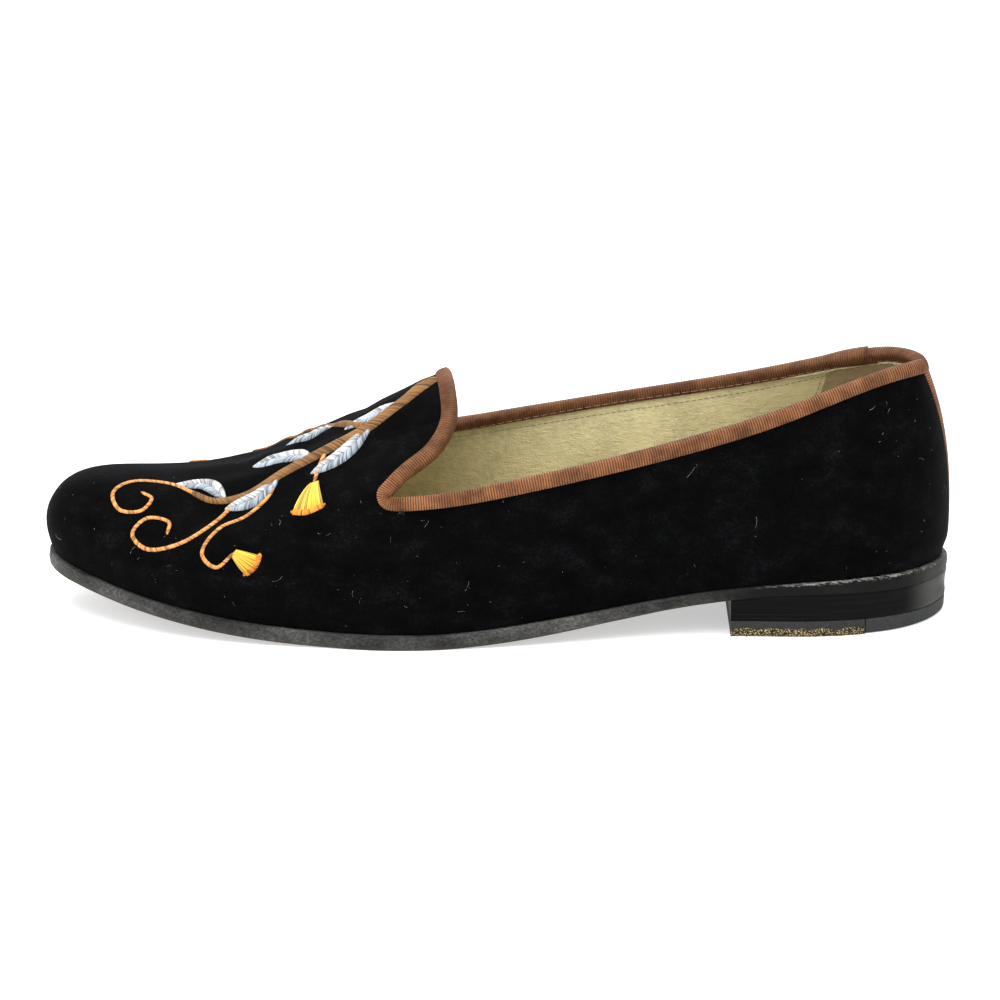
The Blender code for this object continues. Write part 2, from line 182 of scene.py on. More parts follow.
def rib_controls():
    """Control points of every rib round the last: an array of ribs by controls by x, y, z."""
    inner_rows = np.arange(RIB_COUNT - 2, 0, -1)
    rows = np.concatenate([np.arange(RIB_COUNT), inner_rows])
    across = np.concatenate([-TABLE["outer"], TABLE["inner"][inner_rows]]) * BALL_WIDTH
    side = np.concatenate([-np.ones(RIB_COUNT), np.ones(RIB_COUNT - 2)])
    top_along = np.concatenate([TABLE["top_along"], TABLE["inner_top_along"][inner_rows]])
    climb = np.concatenate([TABLE["climb"], TABLE["inner_climb"][inner_rows]])
    foot = np.stack([TABLE["along"][rows] * LAST_LENGTH, across], axis=1)
    top_across = side * TABLE["top_across"][rows] * BALL_WIDTH
    top = np.stack([top_along * LAST_LENGTH, top_across], axis=1)
    peak = np.where(rows < NOTCH_RIB, COLLAR_HEIGHT, TONGUE_HEIGHT)
    top_height = NOTCH_HEIGHT + climb * (peak - NOTCH_HEIGHT)
    foot_height = sole_top(foot[:, 0]) + GAP
    outward = sideways(np.roll(foot, -1, 0) - np.roll(foot, 1, 0))
    walls = np.array(WALLS)
    kind = TABLE["wall"][rows]
    lower = np.minimum(kind.astype(int), len(walls) - 2)
    part = (kind - lower)[:, None, None]
    profile = walls[lower] * (1.0 - part) + walls[lower + 1] * part
    controls = np.zeros((TURN, profile.shape[1] + 2, 3))
    controls[:, 0] = np.column_stack([foot, foot_height])
    controls[:, -1] = np.column_stack([top, top_height])
    for column in range(profile.shape[1]):
        run, swell, rise = profile[:, column].T
        plan = foot + run[:, None] * (top - foot) + (swell * BULGE)[:, None] * outward
        controls[:, column + 1, :2] = plan
        controls[:, column + 1, 2] = foot_height + rise * (top_height - foot_height)
    return meet_topline_squarely(controls)


def meet_topline_squarely(controls):
    """Swings the last stretch of each rib part of the way square to the topline."""
    topline = controls[:, -1]
    edge = unit(np.roll(topline, -1, 0) - np.roll(topline, 1, 0))
    stretch = controls[:, -2] - topline
    swung = stretch - SQUARENESS * edge * np.sum(stretch * edge, -1)[:, None]
    length = np.linalg.norm(stretch, axis=-1)[:, None]
    controls[:, -2] = topline + unit(swung) * length
    return controls


CONTROLS = rib_controls()
BENDS = closed_spline(CONTROLS)


def basis(up):
    """Weights of the clamped cubic spline up a rib, for up from 0 at the sole to 1 at the top."""
    count = CONTROLS.shape[1]
    inside = np.linspace(0.0, 1.0, count - 2)[1:-1]
    knots = np.concatenate([np.zeros(4), inside, np.ones(4)])
    up = np.clip(up, 0.0, 1.0 - 1e-9)
    weights = [((up >= a) & (up < b)).astype(float) for a, b in zip(knots[:-1], knots[1:])]
    for degree in (1, 2, 3):
        raised = []
        for i in range(len(weights) - 1):
            left = knots[i + degree] - knots[i]
            right = knots[i + degree + 1] - knots[i + 1]
            value = np.zeros_like(up)
            if left > 0:
                value = value + (up - knots[i]) / left * weights[i]
            if right > 0:
                value = value + (knots[i + degree + 1] - up) / right * weights[i + 1]
            raised.append(value)
        weights = raised
    return np.stack(weights, axis=-1)


def ribs_at(turn):
    """Control points of the rib at each turn, from 0 at the heel round to TURN at the heel."""
    turn = np.mod(turn, TURN)
    start = np.minimum(turn.astype(int), TURN - 1)
    end = (start + 1) % TURN
    b = (turn - start)[..., None, None]
    a = 1.0 - b
    bend = (a ** 3 - a) * BENDS[start] + (b ** 3 - b) * BENDS[end]
    controls = a * CONTROLS[start] + b * CONTROLS[end] + bend / 6.0
    controls[..., 0, 2] = sole_top(controls[..., 0, 0]) + GAP
    return controls


def outline(turn, margin):
    """Plan points of the feather edge moved outwards by a margin, counted from the last's toe."""
    foot = ribs_at(turn)[..., 0, :2]
    step = 1e-3
    forward = ribs_at(turn + step)[..., 0, :2] - ribs_at(turn - step)[..., 0, :2]
    return foot + np.asarray(margin)[..., None] * sideways(forward)


def shift_to_frame():
    """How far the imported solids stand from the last's own zero, measured on the outsole."""
    plan = outline(ALL_ROUND, SOLE_MARGIN)
    low, high = (np.array(corner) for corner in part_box("outsole"))
    middle = (plan.max(axis=0) + plan.min(axis=0)) / 2
    return np.array([*((low + high)[:2] / 2 - middle), 0.0])


SHIFT = shift_to_frame()


def skin(turn, up):
    """Points of the upper's outer face, in the frame."""
    return np.einsum("...c,...cx->...x", basis(up), ribs_at(turn)) + SHIFT


def slopes(turn, up):
    """How the outer face moves with turn and with up."""
    step = 1e-4
    back = np.clip(up - step, 0.0, 1.0)
    forth = np.clip(up + step, 0.0, 1.0)
    along = (skin(turn + step, up) - skin(turn - step, up)) / (2.0 * step)
    rising = (skin(turn, forth) - skin(turn, back)) / (forth - back)[..., None]
    return along, rising


def normals(turn, up):
    """Directions pointing out of the upper's outer face."""
    along, rising = slopes(turn, up)
    return unit(np.cross(rising, along))


def place(turn, up, offset):
    """Points at an offset out of the upper's outer face."""
    return skin(turn, up) + np.asarray(offset)[..., None] * normals(turn, up)


def over_topline(turn):
    """Directions square to the topline, in the wall's face, that point into the opening."""
    along, rising = slopes(turn, np.ones_like(turn))
    edge = unit(along)
    return unit(rising - edge * np.sum(rising * edge, -1)[..., None])


def from_topline(turn, distance):
    """Turn and up of the spots on the wall that lie square in from the topline by distance."""
    up = np.ones_like(turn)
    heading = -over_topline(turn)
    for _ in range(WALK_STEPS):
        along, rising = slopes(turn, up)
        facing = unit(np.cross(rising, along))
        heading = unit(heading - facing * np.sum(heading * facing, -1)[..., None])
        square = np.stack([along, rising], axis=-1)
        gram = np.einsum("...xi,...xj->...ij", square, square)
        pull = np.einsum("...xi,...x->...i", square, heading) * distance / WALK_STEPS
        move = np.linalg.solve(gram, pull[..., None])[..., 0]
        turn = turn + move[..., 0]
        up = up + move[..., 1]
    return turn, up


def run_along(points):
    """Distance along a line of points, from its first one to each."""
    return np.concatenate([[0.0], np.cumsum(np.linalg.norm(np.diff(points, axis=0), axis=1))])


def evenly(points, pitch, turns):
    """Turns at even steps of about pitch along a curve sampled at turns."""
    run = run_along(points)
    count = max(2, int(round(run[-1] / pitch)))
    return np.interp(np.linspace(0.0, run[-1], count + 1), run, turns)


# Fineness of the pieces
UPPER_ROWS = 560
UPPER_COLUMNS = 56
LINING_ROWS = 300
LINING_COLUMNS = 36
EDGE_TURNS = 260

# Rows of the wall are spaced at this share of its height, where it is about this long all round
ROW_HEIGHT = 0.45
ROW_GIRTH = 0.62

# About how long the sole's edge is along one side
EDGE_LENGTH = 0.32

# The ribbon: height of one rib in steps along it, thickness, rise over the wall's edge, and clearance
RIB_RELIEF = (0.0, 0.85, 1.0, 0.85)
RIBBON_THICK = 0.00088
RIBBON_RISE = 0.00105
RIBBON_CLEAR = 0.00005

# Its cross section: shares of each leg's length from the edge, with how plump it is there
OUTER_LEG = ((1.0, 0.40), (0.94, 0.66), (0.80, 0.84), (0.60, 0.97), (0.40, 1.03), (0.18, 1.0))
INNER_LEG = ((0.18, 1.0), (0.45, 1.0), (0.75, 0.90), (0.93, 0.70), (1.0, 0.42))
FOLD_ANGLES = np.radians((25.0, 55.0, 90.0, 125.0, 155.0))

# How much its lapped end slants, in turns, and how far it stands over the other end
LAP_SLANT = 0.30
LAP_RISE = 0.00055

# Its inner leg is painted darker, a painted shade for ribs that catch less light there than on the outer leg:
# stops of a ramp over a tenth of the rib widths across the ribbon
INSIDE_SHADE_START = (0.62, 0.0)
INSIDE_SHADE_END = (0.80, 0.62)

# Where its broken threads are, by x in the frame
SNAG_X = -0.0255

# The heel grip: its foot and its rise as shares of the wall's height
GRIP_FOOT = 0.10
GRIP_RISE = 0.885

# Where a highlight is painted on the heel's rear corner, a paler band that stands in for the reflection where
# the polished surface turns to the back: x from, x to and the soft stretch at each end
PAINTED_HIGHLIGHT_CORNER = (0.1193, 0.1255, 0.0056)

# How far the heel is drawn in at the back, under the bulge of the counter
HEEL_TUCK = 0.0010

# Layers of the wall, counted inwards from the velvet's face
VELVET_DEPTH = 0.0011
LINING_START = 0.0012

# Where the tongue rolls back before its tip, up the ridge
TONGUE_ROLL = 0.980

# How many of the creases below cross the vamp, where the embroidery follows them
VAMP_CREASES = 6

# Creases in the velvet: ends as (turn, up), half width and depth; a ridge has a negative depth
CREASES = (
    ((18.4, 0.790), (25.0, 0.790), 0.0044, 0.00080),
    ((18.6, 0.845), (24.8, 0.838), 0.0034, 0.00085),
    ((18.4, 0.880), (24.8, 0.868), 0.0030, 0.00055),
    ((18.6, 0.908), (24.4, 0.894), 0.0030, 0.00080),
    ((18.8, 0.938), (24.0, 0.924), 0.0036, 0.00095),
    ((18.9, TONGUE_ROLL), (23.4, TONGUE_ROLL - 0.006), 0.0032, -0.00070),
    ((11.6, 0.860), (11.0, 0.560), 0.0045, 0.00040),
    ((12.6, 0.820), (13.2, 0.500), 0.0050, 0.00035),
    ((28.4, 0.860), (29.0, 0.560), 0.0045, 0.00040),
    ((27.4, 0.820), (26.8, 0.500), 0.0050, 0.00035),
    ((9.0, 0.140), (14.0, 0.180), 0.0050, 0.00030),
    ((26.0, 0.180), (31.0, 0.140), 0.0050, 0.00030),
    ((5.0, 0.300), (8.0, 0.420), 0.0070, 0.00035),
    ((33.0, 0.420), (35.5, 0.300), 0.0070, 0.00035),
)

# The wall's foot tucks in where it meets the sole round the heel
FOOT_TUCKS = (
    ((0.0, 0.005), (4.6, 0.005), 0.0034, 0.00125),
    ((40.0, 0.005), (35.4, 0.005), 0.0034, 0.00125),
)

# Soft wrinkles of the lining, given in the same way
LINING_WRINKLES = (
    ((28.6, 0.55), (30.6, 0.86), 0.0030, 0.00035),
    ((31.0, 0.40), (33.0, 0.78), 0.0040, 0.00030),
    ((9.4, 0.86), (11.4, 0.55), 0.0030, 0.00035),
    ((34.0, 0.30), (36.0, 0.74), 0.0035, 0.00030),
    ((4.0, 0.74), (6.0, 0.30), 0.0035, 0.00030),
)


def troughs(points, lines, steps, fade):
    """How deep each point lies in each soft trough along a line on the wall."""
    depths = []
    for start, end, half_width, depth in lines:
        share = np.linspace(0.0, 1.0, steps)
        line = skin(*(a + share * (b - a) for a, b in zip(start, end)))
        gap = np.linalg.norm(points[..., None, :] - line, axis=-1)
        depths.append(depth * np.max(fade(share) * np.exp(-(gap / half_width) ** 2), axis=-1))
    return depths


def foot_tuck(points):
    """How far the wall's foot is drawn in, fullest at the back of the heel."""
    return np.maximum(*troughs(points, FOOT_TUCKS, 40, lambda share: 1.0 - smooth(0.25, 1.0, share)))


def crease_depth(points, creases):
    """How far each point sinks into the creases, which are fullest at their middles."""
    return sum(troughs(points, creases, 24, lambda share: np.sin(np.pi * (0.08 + 0.84 * share))))


def mesh_piece(name, points, faces, material, uv=None, shade=None):
    """One mesh from its points and faces, riding on the shoe, with its finish."""
    mesh = bpy.data.meshes.new(name)
    mesh.from_pydata(points.reshape(-1, 3), [], faces.tolist() if hasattr(faces, "tolist") else faces)
    if uv is not None:
        corners = np.zeros(len(mesh.loops), dtype=np.int32)
        mesh.loops.foreach_get("vertex_index", corners)
        mesh.uv_layers.new(name="map").data.foreach_set("uv", uv.reshape(-1, 2)[corners].ravel())
    if shade is not None:
        mesh.attributes.new("shade", "FLOAT", "POINT").data.foreach_set("value", shade.ravel())
    work = bmesh.new()
    work.from_mesh(mesh)
    bmesh.ops.remove_doubles(work, verts=work.verts, dist=1e-7)
    bmesh.ops.recalc_face_normals(work, faces=work.faces)
    work.to_mesh(mesh)
    work.free()
    mesh.shade_smooth()
    mesh.set_sharp_from_angle(angle=np.radians(50.0))
    mesh.materials.append(material)
    piece = bpy.data.objects.new(name, mesh)
    bpy.context.scene.collection.objects.link(piece)
    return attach(piece, "root")


def grid_faces(rows, columns, first=0, closed=False, flip=False):
    """Faces of a grid of points numbered row by row from first."""
    i = np.arange(rows if closed else rows - 1)[:, None]
    k = np.arange(columns - 1)[None, :]
    j = (i + 1) % rows
    a, b, c, d = i * columns + k, j * columns + k, j * columns + k + 1, i * columns + k + 1
    quads = np.stack([a, b, c, d], axis=-1).reshape(-1, 4) + first
    return quads[:, ::-1] if flip else quads


def shell(name, front, back, closed, material, uv=None):
    """A closed wall between two grids of points."""
    rows, columns = front.shape[:2]
    size = rows * columns
    faces = [grid_faces(rows, columns, 0, closed), grid_faces(rows, columns, size, closed, flip=True)]
    i = np.arange(rows if closed else rows - 1)
    j = (i + 1) % rows
    for k in (0, columns - 1):
        a, b = i * columns + k, j * columns + k
        faces.append(np.stack([a, b, b + size, a + size], axis=-1))
    if not closed:
        k = np.arange(columns - 1)
        for row in (0, rows - 1):
            a = row * columns + k
            faces.append(np.stack([a, a + 1, a + 1 + size, a + size], axis=-1))
    points = np.concatenate([front.reshape(-1, 3), back.reshape(-1, 3)])
    uv_all = None if uv is None else np.concatenate([uv.reshape(-1, 2), uv.reshape(-1, 2)])
    return mesh_piece(name, points, np.concatenate(faces), material, uv_all)


def loft(name, loops, closed, material, uv=None):
    """A closed solid through a row of closed loops of points."""
    rows, columns = loops.shape[:2]
    wrapped = np.concatenate([loops, loops[:, :1]], axis=1)
    faces = grid_faces(rows, columns + 1, 0, closed)
    lists = faces.tolist()
    if not closed:
        lists.append(list(range(columns)))
        lists.append(list(range((rows - 1) * (columns + 1), (rows - 1) * (columns + 1) + columns)))
    uv_all = None if uv is None else np.concatenate([uv, uv[:, :1]], axis=1)
    return mesh_piece(name, wrapped, lists, material, uv_all)


def skin_turns(count):
    """Turns all round the shoe at even steps along the middle of the wall."""
    turns = np.linspace(0.0, TURN, 2001)
    return evenly(skin(turns, np.full_like(turns, ROW_HEIGHT)), 1e-6 + ROW_GIRTH / count, turns)[:-1]


# Materials


def times(colour, factor):
    """A colour made darker or lighter, up to full white."""
    return tuple(min(1.0, factor * c) for c in colour)


class Finish:
    """A Principled material, with short ways to add nodes to its tree."""

    def __init__(self, name, colour, roughness, **more):
        self.material = bpy.data.materials.new(name)
        self.material.use_nodes = True
        self.tree = self.material.node_tree
        self.shader = self.tree.nodes["Principled BSDF"]
        self.set(Base_Color=colour, Roughness=roughness, **more)
        spot = self.node("TexCoord", {})
        self.where, self.map = spot.outputs["Object"], spot.outputs["UV"]

    def feed(self, socket, value):
        """Links an input to another node or gives it a value; a colour may leave out its alpha."""
        if isinstance(value, bpy.types.NodeSocket):
            self.tree.links.new(value, socket)
        elif socket.type == "RGBA" and len(value) == 3:
            socket.default_value = (*value, 1.0)
        else:
            socket.default_value = value

    def node(self, kind, inputs, **settings):
        """A new node with its settings, and with values or links for its inputs."""
        node = self.tree.nodes.new("ShaderNode" + kind)
        for key, value in settings.items():
            setattr(node, key, value)
        for key, value in inputs.items():
            self.feed(node.inputs[key], value)
        return node

    def set(self, **sockets):
        """Values or links for the shader's inputs, named with underscores for spaces."""
        for key, value in sockets.items():
            self.feed(self.shader.inputs[key.replace("_", " ")], value)

    def noise(self, size, detail=4.0, rough=0.6, stretch=(1.0, 1.0, 1.0), on=None):
        """Noise with blotches of about a size in metres, stretched along the axes."""
        where = self.where if on is None else on
        mapping = self.node("Mapping", {"Vector": where, "Scale": [1.0 / (size * s) for s in stretch]})
        inputs = {"Vector": mapping.outputs[0], "Scale": 1.0, "Detail": detail, "Roughness": rough}
        return self.node("TexNoise", inputs).outputs["Fac"]

    def ramp(self, source, *stops):
        """A colour ramp through (place, colour or grey) stops."""
        node = self.node("ValToRGB", {"Fac": source})
        elements = node.color_ramp.elements
        while len(elements) < len(stops):
            elements.new(0.5)
        for element, (where, colour) in zip(elements, stops):
            element.position = where
            is_grey = len(np.atleast_1d(colour)) == 1
            element.color = (colour, colour, colour, 1.0) if is_grey else (*colour, 1.0)
        return node.outputs["Color"]

    def shades(self, source, colour, *stops):
        """A ramp through shades of one colour, given as (place, factor) stops."""
        return self.ramp(source, *((where, times(colour, factor)) for where, factor in stops))

    def mix(self, share, first, second, **settings):
        """Mixes two colours by a share; each may come from a node or be a value."""
        return self.node("Mix", {0: share, 6: first, 7: second}, data_type="RGBA", **settings).outputs[2]

    def maths(self, operation, first, second):
        return self.node("Math", {0: first, 1: second}, operation=operation).outputs[0]

    def product(self, first, second):
        return self.maths("MULTIPLY", first, second)

    def parts(self, vector):
        return self.node("SeparateXYZ", {0: vector}).outputs

    def band(self, axis, low, high, soft):
        """1 between two places along an axis, falling to 0 over a soft stretch at each end."""
        along = self.parts(self.where)[axis]
        ends = ((low - soft, low + soft), (high + soft, high - soft))
        return self.product(*(
            self.node("MapRange", {"Value": along, "From Min": start, "From Max": end},
                      interpolation_type="SMOOTHSTEP").outputs[0] for start, end in ends))

    def bumps(self, *layers):
        """Roughens the surface by layers of (height, distance, strength), each over the last."""
        under = {}
        for height, distance, strength in layers:
            inputs = {"Height": height, "Distance": distance, "Strength": strength, **under}
            under = {"Normal": self.node("Bump", inputs).outputs[0]}
        self.set(**under)


def velvet_finish(colours):
    """Black cut pile: near black face on, a faint cool rim, brushed patches painted lighter as a painted
    sheen, and a fine nap.
    """
    look = Finish("black_velvet", colours.velvet, 0.95, Sheen_Weight=0.032, Sheen_Roughness=0.30,
                  Sheen_Tint=(0.70, 0.76, 0.86), Specular_IOR_Level=0.04)
    patches = look.product(look.noise(0.0075, 5.0, 0.65, (1.3, 1.0, 0.9)), look.noise(0.0008, 5.0, 0.90))
    # Brushed patches of nap: the lighter ones, up to 5.2 times the velvet's colour, are a painted sheen of
    # the crushed pile
    look.set(Base_Color=look.shades(patches, colours.velvet, (0.16, 0.25), (0.29, 1.0), (0.46, 5.2)))
    look.bumps((look.noise(0.00030, 3.0, 0.8), 0.00016, 0.8),
               (look.noise(0.0024, 3.0, 0.6, (2.2, 1.0, 1.0)), 0.00022, 0.45))
    return look.material


def ribbon_finish(colours):
    """Ribbed silk ribbon: the map counts ribs along it, and its lengthwise threads cross them."""
    look = Finish("ribbed_ribbon", colours.ribbon, 0.55, Sheen_Weight=0.035, Sheen_Roughness=0.35,
                  Sheen_Tint=(0.95, 0.80, 0.66), Specular_IOR_Level=0.16)
    parts = look.parts(look.map)
    wander = look.product(look.noise(3.0, 2.0, 0.5, on=look.map), 0.5)
    rib = look.maths("PINGPONG", look.maths("ADD", parts["X"], wander), 0.5)
    threads = look.noise(0.22, 4.0, 0.85, (2.6, 0.7, 1.0), look.map)
    # Painted shade and painted highlight: dark between the ribs and light on their crests, over the ribs' own
    # relief
    base = look.shades(rib, colours.ribbon, (0.04, 0.16), (0.22, 1.0), (0.46, 1.60))
    # Painted shade: the ribbon's inner leg darkened towards 0.42 of its colour
    inside = look.ramp(look.product(parts["Y"], 0.1), INSIDE_SHADE_START, INSIDE_SHADE_END)
    base = look.mix(inside, base, times(colours.ribbon, 0.42))
    # Painted shade: the ribbon over the tongue, which faces the light, darkened towards 0.45 of its colour
    tip = look.product(look.band("Z", 0.052, 0.200, 0.007), look.band("X", -0.060, -0.004, 0.004))
    base = look.mix(look.product(tip, 0.60), base, times(colours.ribbon, 0.45))
    tone = look.ramp(look.product(threads, look.noise(0.0060, 4.0, 0.65)), (0.17, (0.50, 0.47, 0.46)),
                     (0.26, (0.95, 0.96, 0.97)), (0.37, (1.40, 1.52, 1.62)))
    look.set(Base_Color=look.mix(1.0, base, tone, blend_type="MULTIPLY"))
    look.bumps((rib, 0.00018, 0.8), (threads, 0.00006, 0.5))
    return look.material


def leather_finish(name, colour):
    """Soft lining leather, with fine pores, wrinkles and slow blotches."""
    look = Finish(name, colour, 0.42, Specular_IOR_Level=0.4)
    pores_per_metre = 1500.0
    grain = look.node("TexVoronoi", {"Vector": look.where, "Scale": pores_per_metre},
                      feature="DISTANCE_TO_EDGE")
    pores = look.ramp(grain.outputs["Distance"], (0.0, 0.0), (0.16, 1.0))
    wrinkles = look.noise(0.0016, 5.0, 0.7, (1.5, 1.0, 0.7))
    tone = look.maths("ADD", look.product(look.noise(0.012), 0.5), look.product(wrinkles, 0.5))
    look.set(Base_Color=look.shades(tone, colour, (0.38, 0.78), (0.50, 1.0), (0.62, 1.16)))
    look.bumps((pores, 0.00008, 0.8), (wrinkles, 0.00060, 0.9))
    return look.material


def sole_edge_finish(colours):
    """Black sole edge: matt and speckled, brown at the foot, with a scuffed line at its top."""
    look = Finish("sole_edge", colours.sole, 0.6, Specular_IOR_Level=0.09)
    height = look.parts(look.map)["Y"]
    speckle = look.noise(0.0007, 5.0, 0.85, (1.5, 1.0, 1.0))
    rubbed_and_highlit = look.product(speckle, look.noise(0.012, stretch=(2.0, 1.0, 1.0)))
    base = look.shades(rubbed_and_highlit, colours.sole, (0.17, 0.30), (0.25, 1.0), (0.33, 1.8), (0.44, 4.5))
    foot = look.ramp(look.maths("ADD", height, look.product(speckle, 0.45)), (0.26, 0.70), (0.44, 0.0))
    base = look.mix(foot, base, colours.sole_foot)
    polish = look.ramp(rubbed_and_highlit, (0.22, colours.heel), (0.44, times(colours.sole, 0.30)),
                       (0.60, times(colours.sole, 1.8)))
    base = look.mix(look.band("X", 0.060, 0.200, 0.014), base, polish)
    # Painted highlight: the paler band on the sole's edge at the heel's rear corner, standing in for a
    # reflection
    base = look.mix(look.product(look.band("X", *PAINTED_HIGHLIGHT_CORNER), 0.45), base, colours.rubbed_and_highlit)
    ragged = look.noise(0.0010, 5.0, 0.90, (2.2, 1.0, 0.8))
    line = look.ramp(look.product(height, ragged), (0.47, 0.0), (0.54, 1.0))
    dusty = look.product(look.band("X", 0.080, 0.122, 0.014), line)
    look.set(Base_Color=look.mix(dusty, base, colours.dust),
             Roughness=look.ramp(rubbed_and_highlit, (0.18, 0.45), (0.45, 0.80)))
    look.bumps((speckle, 0.00012, 0.8), (look.noise(0.0035, stretch=(3.0, 1.0, 1.0)), 0.00020, 0.4))
    return look.material


def polished_finish(colours):
    """Polished black heel with faint level scratches between its layers of leather."""
    look = Finish("polished_heel", colours.heel, 0.34, Specular_IOR_Level=0.05)
    scratches = look.noise(0.0010, 4.0, 0.7, (30.0, 30.0, 0.35))
    base = look.shades(scratches, colours.heel, (0.35, 0.55), (0.55, 1.0), (0.72, 2.4))
    # Painted highlight: a paler band on the heel's rear corner, standing in for the reflection where the
    # polished surface turns to the back
    corner_highlight = look.product(look.band("X", *PAINTED_HIGHLIGHT_CORNER), 0.85)
    blotch = look.noise(0.006, stretch=(2.0, 1.0, 0.7))
    look.set(Base_Color=look.mix(corner_highlight, base, colours.rubbed_and_highlit),
             Roughness=look.ramp(blotch, (0.35, 0.26), (0.65, 0.50)))
    look.bumps((scratches, 0.00005, 0.5), (look.noise(0.009, 2.0, 0.5, (1.0, 1.0, 0.8)), 0.00030, 0.35))
    return look.material


def speckled_finish(name, colour, roughness, specular, speckle, stops, relief):
    """Matt stuff speckled darker and lighter: the speckle's noise, its shades and its bump."""
    look = Finish(name, colour, roughness, Specular_IOR_Level=specular)
    height = look.noise(*speckle)
    look.set(Base_Color=look.shades(height, colour, *stops))
    look.bumps((height, *relief))
    return look.material


# The lifts, and the bare fibres along the foot of the leather one
LIFT_LOOK = (0.72, 0.3, (0.0008, 5.0, 0.75), ((0.34, 0.65), (0.52, 1.0), (0.74, 1.9)), (0.00008, 0.6))
WORN_LOOK = (0.85, 0.2, (0.00036, 2.0, 0.6), ((0.53, 0.05), (0.58, 1.0), (0.65, 1.8)), (0.00018, 0.9))


def blotched_finish(name, colour, roughness, size, dark):
    """One colour with soft blotches of a darker shade."""
    look = Finish(name, colour, roughness)
    look.set(Base_Color=look.shades(look.noise(size), colour, (0.3, dark), (0.7, 1.0)))
    return look.material


# Sewing thread: roughness, size of its blotches and how dark they are
STITCH_LOOK = (0.5, 0.0006, 0.6)


def thread_finish(name, colour):
    """Glossy stitching thread: each thread has its own shade and fine twisted fibres."""
    look = Finish(name, colour, 0.55, Specular_IOR_Level=0.25, Sheen_Weight=0.12, Sheen_Roughness=0.4)
    shade = look.node("Attribute", {}, attribute_name="shade").outputs["Fac"]
    look.set(Base_Color=look.shades(shade, colour, (0.0, 0.40), (0.5, 1.0), (1.0, 1.50)))
    look.bumps((look.noise(0.00010, 2.0, 0.7), 0.00003, 0.5))
    return look.material


# Upper, lining and ribbon


def wall_grid(turns, columns, offset, creases=()):
    """Points of a layer of the wall, sunk by its creases."""
    turn, up = np.meshgrid(turns, np.linspace(0.0, 1.0, columns), indexing="ij")
    points = skin(turn, up)
    sink = foot_tuck(points) + crease_depth(points, creases)
    return points + (offset - sink)[..., None] * normals(turn, up)


def topline_rows(pitch):
    """Turns a quarter of a rib apart along the topline or the ribbon's foot, whichever is longer."""
    edge = skin(ALL_ROUND, np.ones_like(ALL_ROUND))
    foot = skin(*from_topline(ALL_ROUND, RIBBON_OUTSIDE))
    run = np.concatenate([[0.0], np.cumsum(np.maximum(*(np.diff(run_along(line)) for line in (edge, foot))))])
    rows = int(run[-1] / pitch) // len(RIB_RELIEF) * len(RIB_RELIEF)
    return np.interp(np.linspace(0.0, run[-1], rows + 1), run, ALL_ROUND)[:-1]


def lap_rise(turn, end):
    """How far the toe side's end of the ribbon stands over the other end, up to its cut end."""
    return LAP_RISE * smooth(end - 1.1, end - 0.4, turn) * (turn < end)


def ribbon_loops(turn, relief, lap_end):
    """Cross sections of the folded ribbon: out of its foot, over the edge and down inside."""
    lap = lap_rise(turn, lap_end)
    over = over_topline(turn)
    edge = np.ones_like(turn)
    normal = normals(turn, edge)
    middle = skin(turn, edge) - WALL / 2 * normal
    outer, inner = [], []
    for share, plump in OUTER_LEG:
        spot = from_topline(turn, RIBBON_OUTSIDE * share)
        outer.append(place(*spot, (RIBBON_THICK + relief) * plump + lap))
        if share in (1.0, 0.60, 0.18):
            inner.append(place(*spot, RIBBON_CLEAR))
    inner.append(middle + 0.00008 * over)
    for angle in FOLD_ANGLES:
        reach = (WALL / 2 + RIBBON_THICK + relief + lap) * np.cos(angle)
        rise = (RIBBON_RISE + relief + lap) * np.sin(angle)
        outer.append(middle + reach[:, None] * normal + rise[:, None] * over)
    for share, plump in INNER_LEG:
        spot = from_topline(turn, RIBBON_INSIDE * share)
        lap = lap_rise(turn, lap_end + LAP_SLANT * share)
        outer.append(place(*spot, -WALL - (RIBBON_THICK + relief) * plump - lap))
        if share in (0.18, 1.0):
            inner.append(place(*spot, -WALL - RIBBON_CLEAR))
    return np.stack(outer + inner[::-1], axis=1)


def make_velvet_upper(sizes, colours):
    turns = skin_turns(UPPER_ROWS)
    front, back = (wall_grid(turns, UPPER_COLUMNS, offset, CREASES) for offset in (0.0, -VELVET_DEPTH))
    piece = shell("velvet_upper", front, back, True, velvet_finish(colours))
    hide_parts("upper")


def make_lining(sizes, colours):
    turns = skin_turns(LINING_ROWS)
    back = wall_grid(turns, LINING_COLUMNS, -LINING_START)
    front = wall_grid(turns, LINING_COLUMNS, -WALL, LINING_WRINKLES)
    piece = shell("quarter_lining", front, back, True, leather_finish("lining_leather", colours.lining))


def make_topline_ribbon(sizes, colours):
    turn = topline_rows(sizes.ribbon_rib / len(RIB_RELIEF))
    relief = sizes.ribbon_relief * np.resize(RIB_RELIEF, len(turn))
    loops = ribbon_loops(turn, relief, sizes.lap_turn)
    steps = np.linalg.norm(np.diff(loops, axis=1), axis=-1)
    around = np.concatenate([np.zeros((len(turn), 1)), np.cumsum(steps, axis=1)], axis=1)
    counted = np.broadcast_to(np.arange(len(turn))[:, None] / len(RIB_RELIEF), around.shape)
    uv = np.stack([counted, around / sizes.ribbon_rib], axis=-1)
    piece = loft("topline_ribbon", loops, True, ribbon_finish(colours), uv)
    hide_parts("topline_binding")


